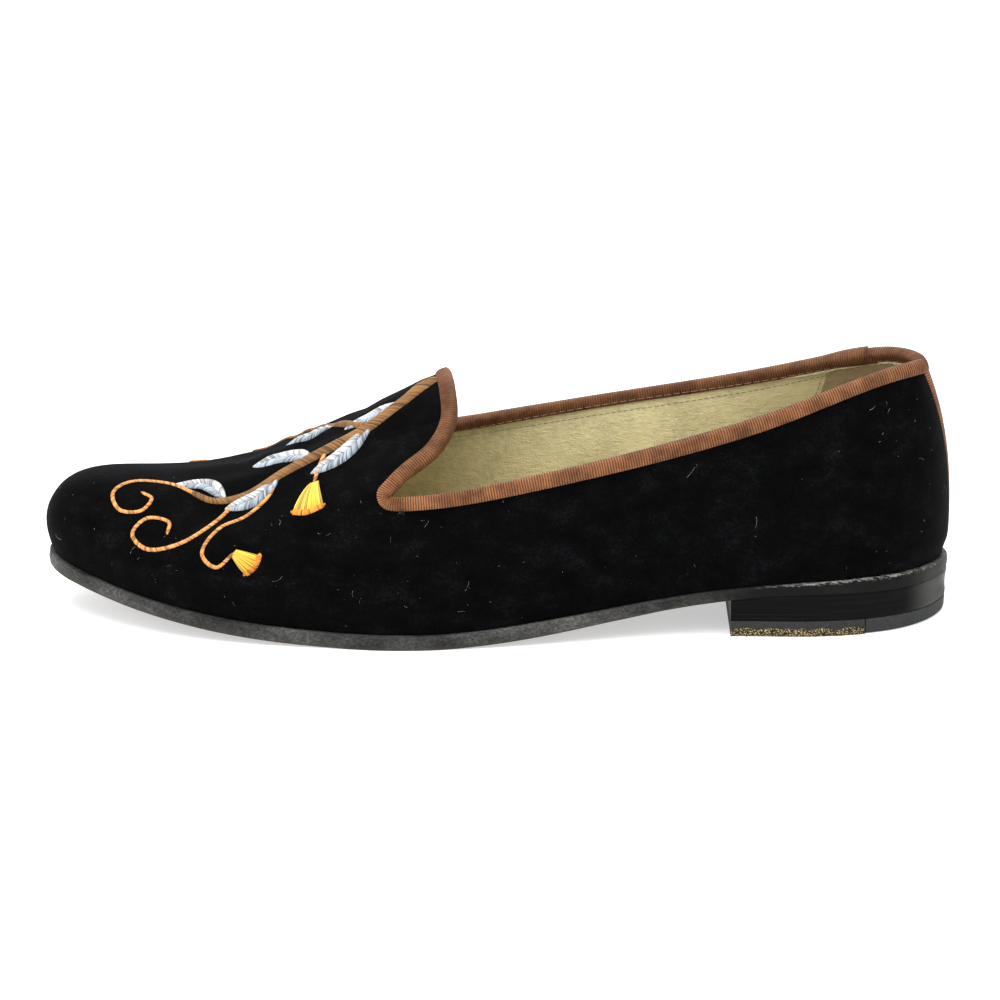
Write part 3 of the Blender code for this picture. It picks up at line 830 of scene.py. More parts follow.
def make_heel_ribbon(sizes, colours):
    """Ribbon up the back seam, ribs level, with its top end tucked under the binding."""
    zero = np.zeros(1)
    top_up = float(from_topline(zero, RIBBON_OUTSIDE - 0.0008)[1][0])
    ups = np.linspace(0.004, top_up, 2001)
    even = evenly(skin(np.zeros_like(ups), ups), sizes.ribbon_rib / len(RIB_RELIEF), ups)
    relief = sizes.ribbon_relief * np.resize(RIB_RELIEF, len(even))
    rise = (even - even[0]) / (even[-1] - even[0])
    half = (STRIP_FOOT_WIDTH + (STRIP_TOP_WIDTH - STRIP_FOOT_WIDTH) * rise) / 2 - 0.0008 * (1.0 - rise)
    proud = 0.00006 + 0.00030 * smooth(0.35, 1.0, rise)
    spread = np.linalg.norm(slopes(np.zeros_like(even), even)[0], axis=-1)
    across = np.linspace(-1.0, 1.0, 15)
    turn = across[None, :] * (half / spread)[:, None]
    up = np.broadcast_to(even[:, None], turn.shape)
    crown = (1.0 - across ** 6)[None, :]
    tuck = foot_tuck(skin(turn, up))
    front = place(turn, up, 0.00004 + (proud + relief * smooth(0.0, 0.6, rise))[:, None] * crown - tuck)
    back = place(turn, up, 0.00001 - tuck)
    counted = np.arange(len(even))[:, None] / len(RIB_RELIEF)
    ribs_across = across[None, :] * STRIP_TOP_WIDTH / 2 / sizes.ribbon_rib
    uv = np.stack(np.broadcast_arrays(counted, ribs_across), axis=-1)
    piece = shell("heel_seam_ribbon", front, back, False, ribbon_finish(colours), uv)
    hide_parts("back_strip")


def grip_edge(share):
    """The grip's front edge by its share of height: turns from the back seam, and up."""
    return 4.20 - 0.20 * share, GRIP_FOOT + GRIP_RISE * share


def make_heel_grip(sizes, colours):
    """Suede piece lining the counter, with its front ends cut in a curve."""
    reach, rise = grip_edge(np.linspace(0.0, 1.0, 22))
    turn = np.linspace(-1.0, 1.0, 90)[:, None] * reach
    up = np.broadcast_to(rise, turn.shape)
    front, back = (place(turn, up, -WALL - depth) for depth in (0.00050, 0.00002))
    piece = shell("heel_grip", front, back, False, leather_finish("grip_suede", colours.grip))


# Sole and heel


def turn_at(x):
    """Turn on the outer side where the sole's outline reaches x."""
    turns = np.linspace(0.0, TURN / 2, 4001)
    return float(np.interp(-x, -outline(turns, SOLE_MARGIN)[:, 0], turns))


def round_the_heel(turns):
    """1 at the back of the heel, falling to 0 along both sides."""
    return 1.0 - smooth(0.6, 4.2, np.minimum(turns, TURN - turns))


# Edges of the layers, bottom to top: how far out from the layer's outline, and share of its height
SOCK_PROFILE = ((0.0, 0.0), (0.0, 0.72), (-0.0004, 0.93), (-0.0014, 1.0), (-0.0080, 0.97), (-0.0150, 0.93))
SOLE_PROFILE = ((-0.0040, 0.0), (-0.0002, 0.0), (-0.00005, 0.05), (0.0, 0.16), (0.00005, 0.45),
                (0.0, 0.78), (-0.0001, 0.93), (-0.0004, 1.0), (-0.0030, 1.0))
HEEL_PROFILE = ((-0.0040, 0.0), (-0.0003, 0.0), (-0.00005, 0.04), (0.0, 0.14), (-0.00022, 0.35),
                (-0.00022, 0.62), (-0.00004, 0.90), (0.0, 0.97), (-0.0001, 1.0), (-0.0040, 1.0))
LIFT_PROFILE = ((-0.0040, 0.0), (-0.0008, 0.0), (-0.0002, 0.07), (0.0, 0.22), (0.0, 0.80),
                (-0.00005, 0.97), (-0.0002, 1.0), (-0.0040, 1.0))
WORN_PROFILE = ((-0.0006, 0.0), (0.00012, 0.04), (0.00022, 0.35), (0.00018, 0.75), (-0.0002, 1.0))

# How far the lifts are drawn in at the back, at the floor and at their top
LIFT_TUCK = (HEEL_TUCK + 0.0006, HEEL_TUCK + 0.0003)


def layer_loops(turns, profile, low, high, drawn_in, roughness=0.0, seed=0, margin=SOLE_MARGIN):
    """Cross sections of a sole layer, and its map of x and share of height.

    The profile is laid down the outer side and back up the inner one, a margin out of the feather
    edge. The layer is drawn in round the heel, by the first depth at the bottom and by the second
    at the top.
    """
    rng = np.random.default_rng(seed)
    sides, marks = [], []
    for side_turns, order in ((turns, profile), (TURN - turns, profile[::-1])):
        for out, share in order:
            depth = (drawn_in[0] + share * (drawn_in[1] - drawn_in[0])) * round_the_heel(side_turns)
            reach = margin + out - depth
            plan = outline(side_turns, reach)
            wobble = roughness * np.convolve(rng.standard_normal(len(turns) + 8), np.ones(9) / 3.0, "valid")
            x = plan[:, 0]
            height = low(x) + share * (high(x) - low(x))
            nudge = wobble[:, None] * unit(plan - outline(side_turns, reach - 0.001))
            sides.append(np.column_stack([plan + nudge, height]) + SHIFT)
            marks.append(np.column_stack([x, np.full_like(x, share)]))
    return np.stack(sides, axis=1), np.stack(marks, axis=1)


def edge_turns(start, end):
    """Turns along one side at even steps of the outline."""
    turns = np.linspace(start, end, 2001)
    share = (end - start) / (TURN / 2)
    return evenly(outline(turns, SOLE_MARGIN), EDGE_LENGTH / EDGE_TURNS * max(share, 0.3), turns)


def lift_top(x):
    return np.full_like(x, LIFT_THICKNESS)


def floor(x):
    return np.zeros_like(x)


def make_insole_sock(sizes, colours):
    loops, _ = layer_loops(edge_turns(0.12, TURN / 2 - 0.12), SOCK_PROFILE, lambda x: sole_top(x) + GAP,
                           lambda x: sole_top(x) + GAP + INSOLE_THICKNESS, (HEEL_TUCK, HEEL_TUCK),
                           margin=-WALL - GAP / 2)
    piece = loft("insole_sock", loops, False, leather_finish("sock_leather", colours.lining))
    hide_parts("insole")


def make_outsole(sizes, colours):
    loops, marks = layer_loops(edge_turns(0.02, TURN / 2 - 0.02), SOLE_PROFILE, sole_bottom, sole_top,
                               (HEEL_TUCK, HEEL_TUCK), 0.00005, 3)
    piece = loft("leather_outsole", loops, False, sole_edge_finish(colours), marks)
    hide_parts("outsole")


def make_heel(sizes, colours):
    back = LAST_LENGTH + SOLE_MARGIN
    lengths = (HEEL_LENGTH, RUBBER_LENGTH, RUBBER_LENGTH + GAP)
    breast, seam, seam_front = (turn_at(back - length) for length in lengths)
    loops, _ = layer_loops(edge_turns(0.02, breast), HEEL_PROFILE, lift_top, sole_bottom,
                           (HEEL_TUCK + 0.0003, HEEL_TUCK), 0.00001, 5)
    piece = loft("stacked_heel", loops, False, polished_finish(colours))
    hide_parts("heel_block")
    loops, _ = layer_loops(edge_turns(0.02, seam), LIFT_PROFILE, floor, lift_top, LIFT_TUCK, 0.00002, 7)
    piece = loft("rubber_lift", loops, False, speckled_finish("lift_rubber", colours.rubber, *LIFT_LOOK))
    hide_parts("heel_lift_rubber")
    loops, _ = layer_loops(edge_turns(seam_front, breast), LIFT_PROFILE, floor, lift_top, LIFT_TUCK,
                           0.00003, 9)
    piece = loft("leather_lift", loops, False, speckled_finish("lift_leather", colours.lift, *LIFT_LOOK))
    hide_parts("heel_lift_leather")
    make_worn_strip(colours, seam_front, breast)


def make_worn_strip(colours, start, end):
    """Bare fibres along the foot of the leather lift, with a ragged top edge."""
    rng = np.random.default_rng(11)
    turns = edge_turns(start, end)
    ragged = np.convolve(rng.standard_normal(len(turns) + 4), np.ones(5) / 5.0, "valid")
    top = np.clip(0.0026 + 0.00065 * ragged, 0.0014, 0.0035)
    sides = []
    for side_turns in (turns, TURN - turns):
        rows = []
        for out, share in WORN_PROFILE:
            fray = 0.00006 * rng.standard_normal(len(turns))
            plan = outline(side_turns, SOLE_MARGIN + out - LIFT_TUCK[0] * round_the_heel(side_turns))
            plan = plan + fray[:, None] * unit(plan - outline(side_turns, 0.0))
            rows.append(np.column_stack([plan, 0.00002 + share * top]) + SHIFT)
        inner = [np.column_stack([outline(side_turns, SOLE_MARGIN - 0.0012), 0.00002 + s * top]) + SHIFT
                 for s in (0.9, 0.0)]
        sides.append(np.stack(rows + inner, axis=1))
    material = speckled_finish("worn_leather", colours.worn_leather, *WORN_LOOK)
    for name, loops in zip(("worn_strip_outer", "worn_strip_inner"), sides):
        piece = loft(name, loops, False, material)


# Embroidery: laid out on the vamp by x in the frame and by how far down from the ridge

VAMP_X = np.arange(-0.1260, -0.0165, 0.0010)
VAMP_S = np.arange(-0.0600, 0.0601, 0.0010)
RIDGE_TURN = TURN / 2


def vamp_chart():
    """Turn and up on the vamp for every x of VAMP_X and distance from the ridge of VAMP_S."""
    turns = np.linspace(10.5, TURN - 10.5, 181)
    ups = np.linspace(0.0, 1.0, 241)
    points = skin(*np.meshgrid(turns, ups, indexing="ij"))
    chart = np.zeros((len(VAMP_X), len(VAMP_S), 2))
    for row, x in enumerate(VAMP_X):
        up = np.array([np.interp(x, rib[:, 0], ups, left=np.nan, right=np.nan) for rib in points])
        seen = ~np.isnan(up)
        run = run_along(skin(turns[seen], up[seen]))
        run = np.interp(RIDGE_TURN, turns[seen], run) - run
        order = slice(None, None, -1)
        chart[row, :, 0] = np.interp(VAMP_S, run[order], turns[seen][order])
        chart[row, :, 1] = np.interp(VAMP_S, run[order], up[seen][order])
    return chart


def on_vamp(chart, spots, lift):
    """Points over the vamp for spots given as (x, distance down from the ridge)."""
    column = np.clip((spots[..., 0] - VAMP_X[0]) / 0.0010, 0, len(VAMP_X) - 1.001)
    row = np.clip((spots[..., 1] - VAMP_S[0]) / 0.0010, 0, len(VAMP_S) - 1.001)
    i, j = column.astype(int), row.astype(int)
    a, b = (column - i)[..., None], (row - j)[..., None]
    near = chart[i, j] * (1 - b) + chart[i, j + 1] * b
    far = chart[i + 1, j] * (1 - b) + chart[i + 1, j + 1] * b
    both = near * (1 - a) + far * a
    turn, up = both[..., 0], both[..., 1]
    sunk = crease_depth(skin(turn, up), CREASES[:VAMP_CREASES])
    return place(turn, up, lift - sunk), normals(turn, up)


def curve_through(points, pitch):
    """Even spots about pitch apart on a smooth curve through points, in the vamp's chart."""
    points = np.array(points, float) / 1000.0
    first, last = 2 * points[0] - points[1], 2 * points[-1] - points[-2]
    knots = np.vstack([first, points, last])
    share = np.linspace(0.0, 1.0, 24, endpoint=False)[:, None]
    spans = []
    for a, b, c, d in zip(knots[:-3], knots[1:-2], knots[2:-1], knots[3:]):
        spans.append(0.5 * (2 * b + (c - a) * share + (2 * a - 5 * b + 4 * c - d) * share ** 2
                            + (3 * b - a - 3 * c + d) * share ** 3))
    dense = np.vstack(spans + [points[-1:]])
    run = run_along(dense)
    even = np.linspace(0.0, run[-1], max(2, int(run[-1] / pitch)) + 1)
    return np.stack([np.interp(even, run, dense[:, k]) for k in (0, 1)], axis=1)


def along_and_side(line):
    ahead = unit(np.gradient(line, axis=0))
    return ahead, sideways(ahead)


def satin_line(points, start_width, end_width, pitch, slant=0.7):
    """Slanted stitches side by side along a curve. Widths in millimetres."""
    line = curve_through(points, pitch)
    ahead, side = along_and_side(line)
    share = np.linspace(0.0, 1.0, len(line))[:, None]
    half = (start_width + (end_width - start_width) * share) / 2000.0
    half = half * np.clip(np.minimum(share, 1.0 - share) * len(line) / 3.0 + 0.35, 0.0, 1.0)
    return line - half * side - slant * half * ahead, line + half * side + slant * half * ahead


def satin_leaf(points, width, pitch, half):
    """Stitches from the midrib to one edge of a leaf; half is 1 or -1."""
    line = curve_through(points, pitch)
    ahead, side = along_and_side(line)
    share = np.linspace(0.0, 1.0, len(line))[:, None]
    reach = width / 1000.0 * np.sin(np.pi * share ** 0.8) ** 0.8 + 0.0001
    return line, line + half * reach * side + 0.75 * reach * ahead


def satin_bell(top, mouth, top_width, mouth_width, pitch):
    """Stitches lengthwise in a bell, from its narrow top to its wide mouth."""
    top, mouth = np.array(top) / 1000.0, np.array(mouth) / 1000.0
    ahead = unit(mouth - top)
    side = sideways(ahead)
    count = int(mouth_width / 1000.0 / pitch) + 1
    across = np.linspace(-0.5, 0.5, count)[:, None]
    curl = 0.0011 * (1.0 - (2 * across) ** 2)
    return (top + across * top_width / 1000.0 * side,
            mouth + across * mouth_width / 1000.0 * side + curl * ahead)


def satin_stitches(name, chart, stitches, radius, material, seed):
    """Raised threads between pairs of spots on the vamp, as one mesh."""
    rng = np.random.default_rng(seed)
    start, end = (np.vstack(spots) for spots in zip(*stitches))
    share = np.linspace(0.0, 1.0, 7)
    spots = start[:, None] + (end - start)[:, None] * share[:, None]
    length = np.linalg.norm(end - start, axis=1)
    rise = np.minimum(THREAD_CROWN, 0.22 * length)[:, None] * np.sin(np.pi * share) ** 0.6
    lift = rise + 0.00004 + 0.00004 * rng.random(len(start))[:, None]
    paths, out = on_vamp(chart, spots, lift)
    width = radius * (0.55 + 0.45 * np.sin(np.pi * np.clip(share, 0.06, 0.94)) ** 0.5)
    shade = np.clip(0.5 + 0.36 * rng.standard_normal(len(start)), 0.0, 1.0)
    tubes(name, paths, width, material, 5, out, (1.05, 0.8), shade)


# How high a long satin stitch arches, and the pitch of the threads in a bell
THREAD_CROWN = 0.00075
BELL_PITCH = 0.00034

# The scroll, in millimetres: x in the frame, then distance down from the ridge to the outer side
STEM = ((-17.9, 0.6), (-28, 5), (-38, 9), (-49, 10.5), (-60, 13), (-70, 17.5), (-79, 18), (-86, 14))
FAR_BRANCH = ((-36, 8.5), (-42, 2), (-50, -6), (-60, -12), (-70, -14))
TENDRILS = (
    ((-85, 14.5), (-93, 9), (-102, 8), (-108, 13), (-106, 19), (-100, 20), (-97, 16), (-100, 13.5)),
    ((-72, 17.5), (-78, 25), (-87, 31), (-97, 32), (-102, 27), (-98, 22.5), (-92, 24), (-92, 28)),
    ((-62, 14), (-64, 20), (-70, 25.5), (-77, 28), (-82, 35), (-78, 40), (-73, 37)),
    ((-48, 10.5), (-50, 16), (-51, 21)),
    ((-66, -13), (-74, -20), (-84, -20), (-88, -14), (-83, -11)),
    ((-54, -9), (-55, -16), (-61, -22), (-68, -24)),
)
LEAVES = (
    (((-28, 3.5), (-35, 3.4), (-43, 3.6)), 2.4),
    (((-35, 8), (-43, 14.5), (-52, 17.0)), 3.0),
    (((-52, 11), (-60, 5.5), (-69, 4.5)), 3.1),
    (((-61, 13.5), (-67, 19), (-76, 21.5)), 2.7),
    (((-76, 18), (-82, 11.0), (-91, 10.0)), 2.4),
    (((-46, -3), (-53, -2), (-60, -4)), 2.5),
    (((-57, -11), (-62, -17), (-70, -18.5)), 2.6),
)
BELLS = (
    ((-51, 21), (-52.5, 30.0), 2.2, 8.4),
    ((-73, 37), (-68.0, 41.5), 1.8, 5.6),
    ((-68, -24), (-75, -28.5), 2.0, 7.0),
)


def make_embroidery(sizes, colours):
    """Generic leaf scroll worked in satin stitch over the vamp."""
    chart = vamp_chart()
    pitch = sizes.thread_pitch
    groups = {
        "brown": [satin_line(STEM, 5.4, 1.6, pitch), satin_line(FAR_BRANCH, 2.6, 1.0, pitch)],
        "tan": [satin_line(path, 1.15, 0.85, pitch) for path in TENDRILS],
        "silver": [satin_leaf(path, width, pitch, 1) for path, width in LEAVES],
        "ice": [satin_leaf(path, width, pitch, -1) for path, width in LEAVES],
        "gold": [satin_bell(*bell, BELL_PITCH) for bell in BELLS],
        "orange": [satin_line(bell_rim(*bell[:2], bell[3]), 1.7, 1.7, pitch, 0.2) for bell in BELLS],
    }
    for seed, (name, stitches) in enumerate(groups.items(), start=20):
        material = thread_finish(f"{name}_thread", getattr(colours, f"thread_{name}"))
        satin_stitches(f"embroidery_{name}", chart, stitches, sizes.thread_width / 2, material, seed)


def bell_rim(top, mouth, mouth_width):
    """Three spots across the mouth of a bell, in millimetres."""
    top, mouth = np.array(top, float), np.array(mouth, float)
    ahead = unit(mouth - top)
    side = sideways(ahead)
    reach = mouth_width / 2 + 0.5
    return (mouth - reach * side, mouth + 1.1 * ahead, mouth + reach * side)


# Small things


def tubes(name, paths, radius, material, sides=4, up=None, flat=(1.0, 1.0), shade=None):
    """Threads along paths, an array of paths by steps by x, y, z, as one mesh.

    The radius may differ by path or by step. Threads that lie on a surface know the way up from
    it, and flat scales them across and upwards. A shade is a number for each thread.
    """
    ahead = unit(np.gradient(paths, axis=1))
    if up is None:
        up = np.where(np.abs(ahead[..., 2:]) > 0.9, [[1.0, 0.0, 0.0]], [[0.0, 0.0, 1.0]])
    across = unit(np.cross(ahead, up))
    up = np.cross(across, ahead)
    angle = 2 * np.pi * np.arange(sides) / sides
    ring = (flat[0] * np.cos(angle)[:, None] * across[..., None, :]
            + flat[1] * np.sin(angle)[:, None] * up[..., None, :])
    points = paths[..., None, :] + np.broadcast_to(radius, paths.shape[:2])[..., None, None] * ring
    count, size = len(paths), paths.shape[1] * sides
    corner = np.arange(sides)
    step = np.arange(0, size - sides, sides)[:, None]
    turned = (corner + 1) % sides
    quads = np.stack([step + corner, step + turned, step + sides + turned, step + sides + corner], axis=-1)
    thread = [*quads.reshape(-1, 4), corner[::-1], size - sides + corner]
    faces = [(first + face).tolist() for first in range(0, count * size, size) for face in thread]
    return mesh_piece(name, points.reshape(-1, 3), faces, material,
                      shade=None if shade is None else np.repeat(shade, size))


def make_lint(sizes, colours):
    """Short pale hairs and specks caught in the velvet."""
    rng = np.random.default_rng(31)
    count = sizes.lint_count
    turn = rng.uniform(0.3, TURN - 0.3, count)
    up = rng.uniform(0.04, 0.93, count)
    heading = rng.uniform(0.0, 2 * np.pi, count)
    length = 0.0002 + 0.0006 * (rng.exponential(1.0, count) ** 1.5).clip(0.0, 6.0)
    bend = rng.uniform(-1.6, 1.6, count)
    along, rising = slopes(turn, up)
    steps = np.linspace(-0.5, 0.5, 6)
    angle = heading[:, None] + bend[:, None] * steps
    offset_a = np.cumsum(np.cos(angle), axis=1) * length[:, None] / len(steps)
    offset_b = np.cumsum(np.sin(angle), axis=1) * length[:, None] / len(steps)
    turns = turn[:, None] + offset_a / np.linalg.norm(along, axis=-1)[:, None]
    ups = up[:, None] + offset_b / np.linalg.norm(rising, axis=-1)[:, None]
    points = skin(turns, ups)
    arch = 0.00025 * rng.random(count)[:, None] * np.sin(np.pi * (steps + 0.5))
    lift = 0.00008 + arch - crease_depth(points, CREASES)
    paths = points + lift[..., None] * normals(turns, ups)
    radius = 0.000010 + 0.000014 * rng.random(count)
    material = blotched_finish("pale_lint", colours.lint, 0.8, 0.004, 0.35)
    piece = tubes("velvet_lint", paths, radius[:, None], material, sides=3)


def stitch_paths(turn, up, depth, pitch):
    """Arched stitches at even steps along a line, at a depth inside the wall's inner face."""
    places = np.arange(len(turn), dtype=float)
    even = evenly(place(turn, up, -WALL - depth), pitch, places)
    share = np.linspace(0.08, 0.80, 5)
    spots = even[:-1, None] + share * np.diff(even)[:, None]
    arch = 0.00016 * np.sin(np.pi * (share - 0.08) / 0.72)
    return place(np.interp(spots, places, turn), np.interp(spots, places, up), -WALL - depth - arch)


def make_stitches(sizes, colours):
    """Stitches through the ribbon's inner edge, and finer ones that hold the lining and grip."""
    ribbon_row = stitch_paths(*from_topline(ALL_ROUND, RIBBON_INSIDE - 0.0007), 0.00086, sizes.stitch_length)
    material = blotched_finish("brown_stitch_thread", colours.stitch, *STITCH_LOOK)
    piece = tubes("ribbon_stitches", ribbon_row, 0.00016, material, sides=5)
    reach, rise = grip_edge(np.linspace(0.30, 0.93, 300))
    lines = [from_topline(ALL_ROUND, RIBBON_INSIDE + 0.0021)]
    lines += [(side * (reach + 0.075) % TURN, rise) for side in (1.0, -1.0)]
    rows = np.concatenate([stitch_paths(*line, -0.00004, sizes.stitch_length * 0.7) for line in lines])
    material = blotched_finish("dull_stitch_thread", times(colours.lining, 0.42), *STITCH_LOOK)
    piece = tubes("lining_stitches", rows, 0.00010, material)


def make_lining_edge(sizes, colours):
    """Raw, frayed edge of the lining that shows under the ribbon beside the heel grip."""
    rng = np.random.default_rng(37)
    for name, start, end in (("lining_edge_inner", 35.2, 38.5), ("lining_edge_outer", 1.5, 4.8)):
        turns = np.linspace(start, end, 260)
        ragged = np.convolve(rng.standard_normal(len(turns) + 6), np.ones(7) / 7.0, "valid")
        share = (turns - start) / (end - start)
        fringe = smooth(0.0, 0.12, share) * smooth(0.0, 0.12, 1.0 - share)
        height = 0.0003 + fringe * np.clip(0.00045 + 0.00035 * ragged, 0.0, 0.0011)
        upper = np.array(from_topline(turns, RIBBON_INSIDE - 0.0002))
        lower = np.array(from_topline(turns, RIBBON_INSIDE + 0.0008))
        front, back = [], []
        for share, proud in ((0.0, 0.70), (0.35, 1.0), (0.75, 0.85), (1.0, 0.35)):
            spot = upper + (lower - upper) * share * height / 0.0010
            front.append(place(*spot, -WALL - 0.00052 - 0.00040 * proud * (0.4 + 0.6 * fringe)))
            back.append(place(*spot, -WALL - 0.00006))
        piece = shell(name, np.stack(front, axis=1), np.stack(back, axis=1), False,
                      leather_finish("raw_lining_edge", colours.raw_edge))


def make_snag(sizes, colours):
    """A few broken black threads over the ribbon's lower edge, just behind the notch."""
    rng = np.random.default_rng(41)
    count = 12
    turns = np.linspace(8.0, 12.0, 801)
    foot = from_topline(turns, RIBBON_OUTSIDE)
    middle = float(np.interp(-SNAG_X, -skin(*foot)[:, 0], turns))
    turn = np.full(count, middle)
    up = np.full(count, float(np.interp(middle, turns, foot[1])))
    along, rising = (np.linalg.norm(slope, axis=-1) for slope in slopes(turn, up))
    steps = np.linspace(0.0, 1.0, 6)
    drift = rng.uniform(-0.0012, 0.0012, (2, count, 1)) * steps
    turns = turn[:, None] + (drift[0] + 0.0003 * rng.standard_normal((count, 1))) / along[:, None]
    ups = up[:, None] + (drift[1] - 0.0002) / rising[:, None]
    paths = place(turns, ups, 0.00075 + 0.00050 * np.sin(np.pi * steps))
    material = blotched_finish("black_thread", colours.velvet, *STITCH_LOOK)
    piece = tubes("ribbon_snag", paths, 0.00009, material)


# Stage


def plain_floor_finish():
    """Pale floor, lit a little from within as a light table is, so that shadows stay faint."""
    look = Finish("studio_floor", (0.60, 0.60, 0.60), 0.9, Emission_Strength=0.50,
                  Emission_Color=(1.0, 1.0, 1.0))
    look.set(Base_Color=look.ramp(look.noise(0.4), (0.3, 0.595), (0.7, 0.605)))
    return look.material


def make_stage(sizes, colours):
    """Pale floor, soft lights and the camera at the photo's angle."""
    mesh = bpy.data.meshes.new("studio_floor")
    half, depth = 4.0, 6.0
    corners = [(-half, -half, 0.0), (half, -half, 0.0), (half, depth, 0.0), (-half, depth, 0.0)]
    mesh.from_pydata(corners, [], [(0, 1, 2, 3)])
    mesh.materials.append(plain_floor_finish())
    ground = bpy.data.objects.new("studio_floor", mesh)
    bpy.context.scene.collection.objects.link(ground)
    world = bpy.data.worlds.new("studio")
    bpy.context.scene.world = world
    bpy.context.scene.view_settings.view_transform = "Standard"
    world.use_nodes = True
    world.node_tree.nodes["Background"].inputs["Color"].default_value = (1.0, 1.0, 1.0, 1.0)
    world.node_tree.nodes["Background"].inputs["Strength"].default_value = sizes.sky_strength
    for name, spot, size, power in (
        ("soft_top", (-0.15, -0.25, 1.30), 1.3, sizes.key_power),
        ("soft_back", (0.35, 1.10, 0.85), 1.1, sizes.key_power * 0.55),
        ("soft_left", (-1.20, -0.45, 0.60), 0.8, sizes.key_power * 0.30),
    ):
        light = bpy.data.lights.new(name, "AREA")
        light.size = size
        light.energy = power
        lamp = bpy.data.objects.new(name, light)
        lamp.location = spot
        lamp.rotation_euler = (Vector((0.0, 0.0, 0.03)) - lamp.location).to_track_quat("-Z", "Y").to_euler()
        bpy.context.scene.collection.objects.link(lamp)
    elevation = np.radians(sizes.camera_elevation)
    pivot = Vector((0.00085, 0.0, 0.035))
    camera = bpy.data.objects.new("photo_camera", bpy.data.cameras.new("photo_camera"))
    camera.location = pivot + sizes.camera_distance * Vector((0.0, -np.cos(elevation), np.sin(elevation)))
    aim = pivot + Vector((-0.0003, 0.0, -0.0039))
    camera.rotation_euler = (aim - camera.location).to_track_quat("-Z", "Y").to_euler()
    camera.data.sensor_width = 36.0
    camera.data.lens = sizes.camera_lens
    camera.data.clip_start = 0.05
    camera.data.clip_end = 50.0
    bpy.context.scene.collection.objects.link(camera)
    bpy.context.scene.camera = camera


# What a user can change


class SlipperSizes(PropertyGroup):
    """Sizes of the slipper's fine work and of its stage."""

    ribbon_rib: FloatProperty(name="Ribbon Rib", description="Pitch of the ribbon's ribs", default=0.00073,
                              unit="LENGTH", precision=5)
    ribbon_relief: FloatProperty(name="Rib Relief", description="How far each rib stands up", default=0.00015,
                                 unit="LENGTH", precision=5)
    lap_turn: FloatProperty(name="Lap Place", default=36.86,
                            description="Where the ribbon's end laps over itself, in ribs of the last")
    thread_pitch: FloatProperty(name="Thread Pitch", description="From one embroidery thread to the next",
                                default=0.00037, unit="LENGTH", precision=5)
    thread_width: FloatProperty(name="Thread Width", description="Width of an embroidery thread",
                                default=0.00046, unit="LENGTH", precision=5)
    stitch_length: FloatProperty(name="Stitch Length", description="Length of the ribbon's stitches",
                                 default=0.0026, unit="LENGTH", precision=4)
    lint_count: IntProperty(name="Lint Hairs", description="Pale hairs caught in the velvet", default=260)
    sky_strength: FloatProperty(name="Sky Strength", description="Brightness of the white surround",
                                default=1.0)
    key_power: FloatProperty(name="Key Power", description="Power of the soft top light", default=22.0,
                             unit="POWER")
    camera_elevation: FloatProperty(name="Camera Elevation", description="Degrees above the horizon",
                                    default=18.0)
    camera_distance: FloatProperty(name="Camera Distance", description="From the camera to the shoe",
                                   default=1.2, unit="LENGTH")
    camera_lens: FloatProperty(name="Camera Lens", description="Focal length in millimetres", default=152.5)


def colour_property(name, default, description):
    return FloatVectorProperty(name=name, description=description, default=default, subtype="COLOR", size=3,
                               min=0.0, max=1.0)


class SlipperColours(PropertyGroup):
    """Colours of the slipper's pieces, as linear values."""

    velvet: colour_property("Velvet", (0.0016, 0.0017, 0.0019), "Cut pile of the upper")
    ribbon: colour_property("Ribbon", (0.182, 0.071, 0.0265), "Ribbed binding and heel seam")
    lining: colour_property("Lining", (0.585, 0.515, 0.285), "Leather inside the quarters")
    grip: colour_property("Heel Grip", (0.29, 0.215, 0.12), "Suede inside the counter")
    raw_edge: colour_property("Raw Edge", (0.66, 0.62, 0.42), "Frayed edge of the lining under the ribbon")
    sole: colour_property("Sole Edge", (0.036, 0.036, 0.034), "Edge and underside of the sole")
    sole_foot: colour_property("Sole Foot", (0.060, 0.043, 0.026), "Rubbed brown foot of the sole's edge")
    dust: colour_property("Dust", (0.26, 0.26, 0.24), "Pale scuffs beside the heel seat")
    heel: colour_property("Heel", (0.0035, 0.0035, 0.0034), "Polished heel")
    # This colour is a painted highlight on the heel's rear corner: a paler band standing in for a reflection
    rubbed_and_highlit: colour_property("Rubbed Corner", (0.075, 0.073, 0.066), "Dulled polish on the heel's rear corner")
    lift: colour_property("Leather Lift", (0.020, 0.0215, 0.021), "Front part of the lowest lift")
    rubber: colour_property("Rubber Lift", (0.024, 0.0255, 0.025), "Rear part of the lowest lift")
    worn_leather: colour_property("Worn Leather", (0.30, 0.23, 0.12), "Bare fibres at the foot of the lift")
    thread_brown: colour_property("Brown Thread", (0.19, 0.088, 0.024), "Stem of the scroll")
    thread_tan: colour_property("Tan Thread", (0.55, 0.24, 0.07), "Tendrils of the scroll")
    thread_silver: colour_property("Silver Thread", (0.44, 0.45, 0.45), "Outer half of the leaves")
    thread_ice: colour_property("Ice Thread", (0.27, 0.31, 0.35), "Other half of the leaves")
    thread_gold: colour_property("Gold Thread", (0.70, 0.44, 0.045), "Bell flowers")
    thread_orange: colour_property("Orange Thread", (0.62, 0.22, 0.020), "Rims of the bell flowers")
    stitch: colour_property("Stitch Thread", (0.16, 0.075, 0.035), "Thread that holds the ribbon")
    lint: colour_property("Lint", (0.46, 0.46, 0.45), "Hairs caught in the velvet")


def settings(context):
    return context.scene.slipper_sizes, context.scene.slipper_colours


def run(context, *makers):
    """Makes a group of pieces, each by its own function."""
    for make in makers:
        make(*settings(context))
    return {"FINISHED"}


class SLIPPER_OT_upper(Operator):
    """Velvet outside of the upper, with its creases"""

    bl_idname = "slipper.upper"
    bl_label = "Velvet Upper"

    def execute(self, context):
        return run(context, make_velvet_upper)


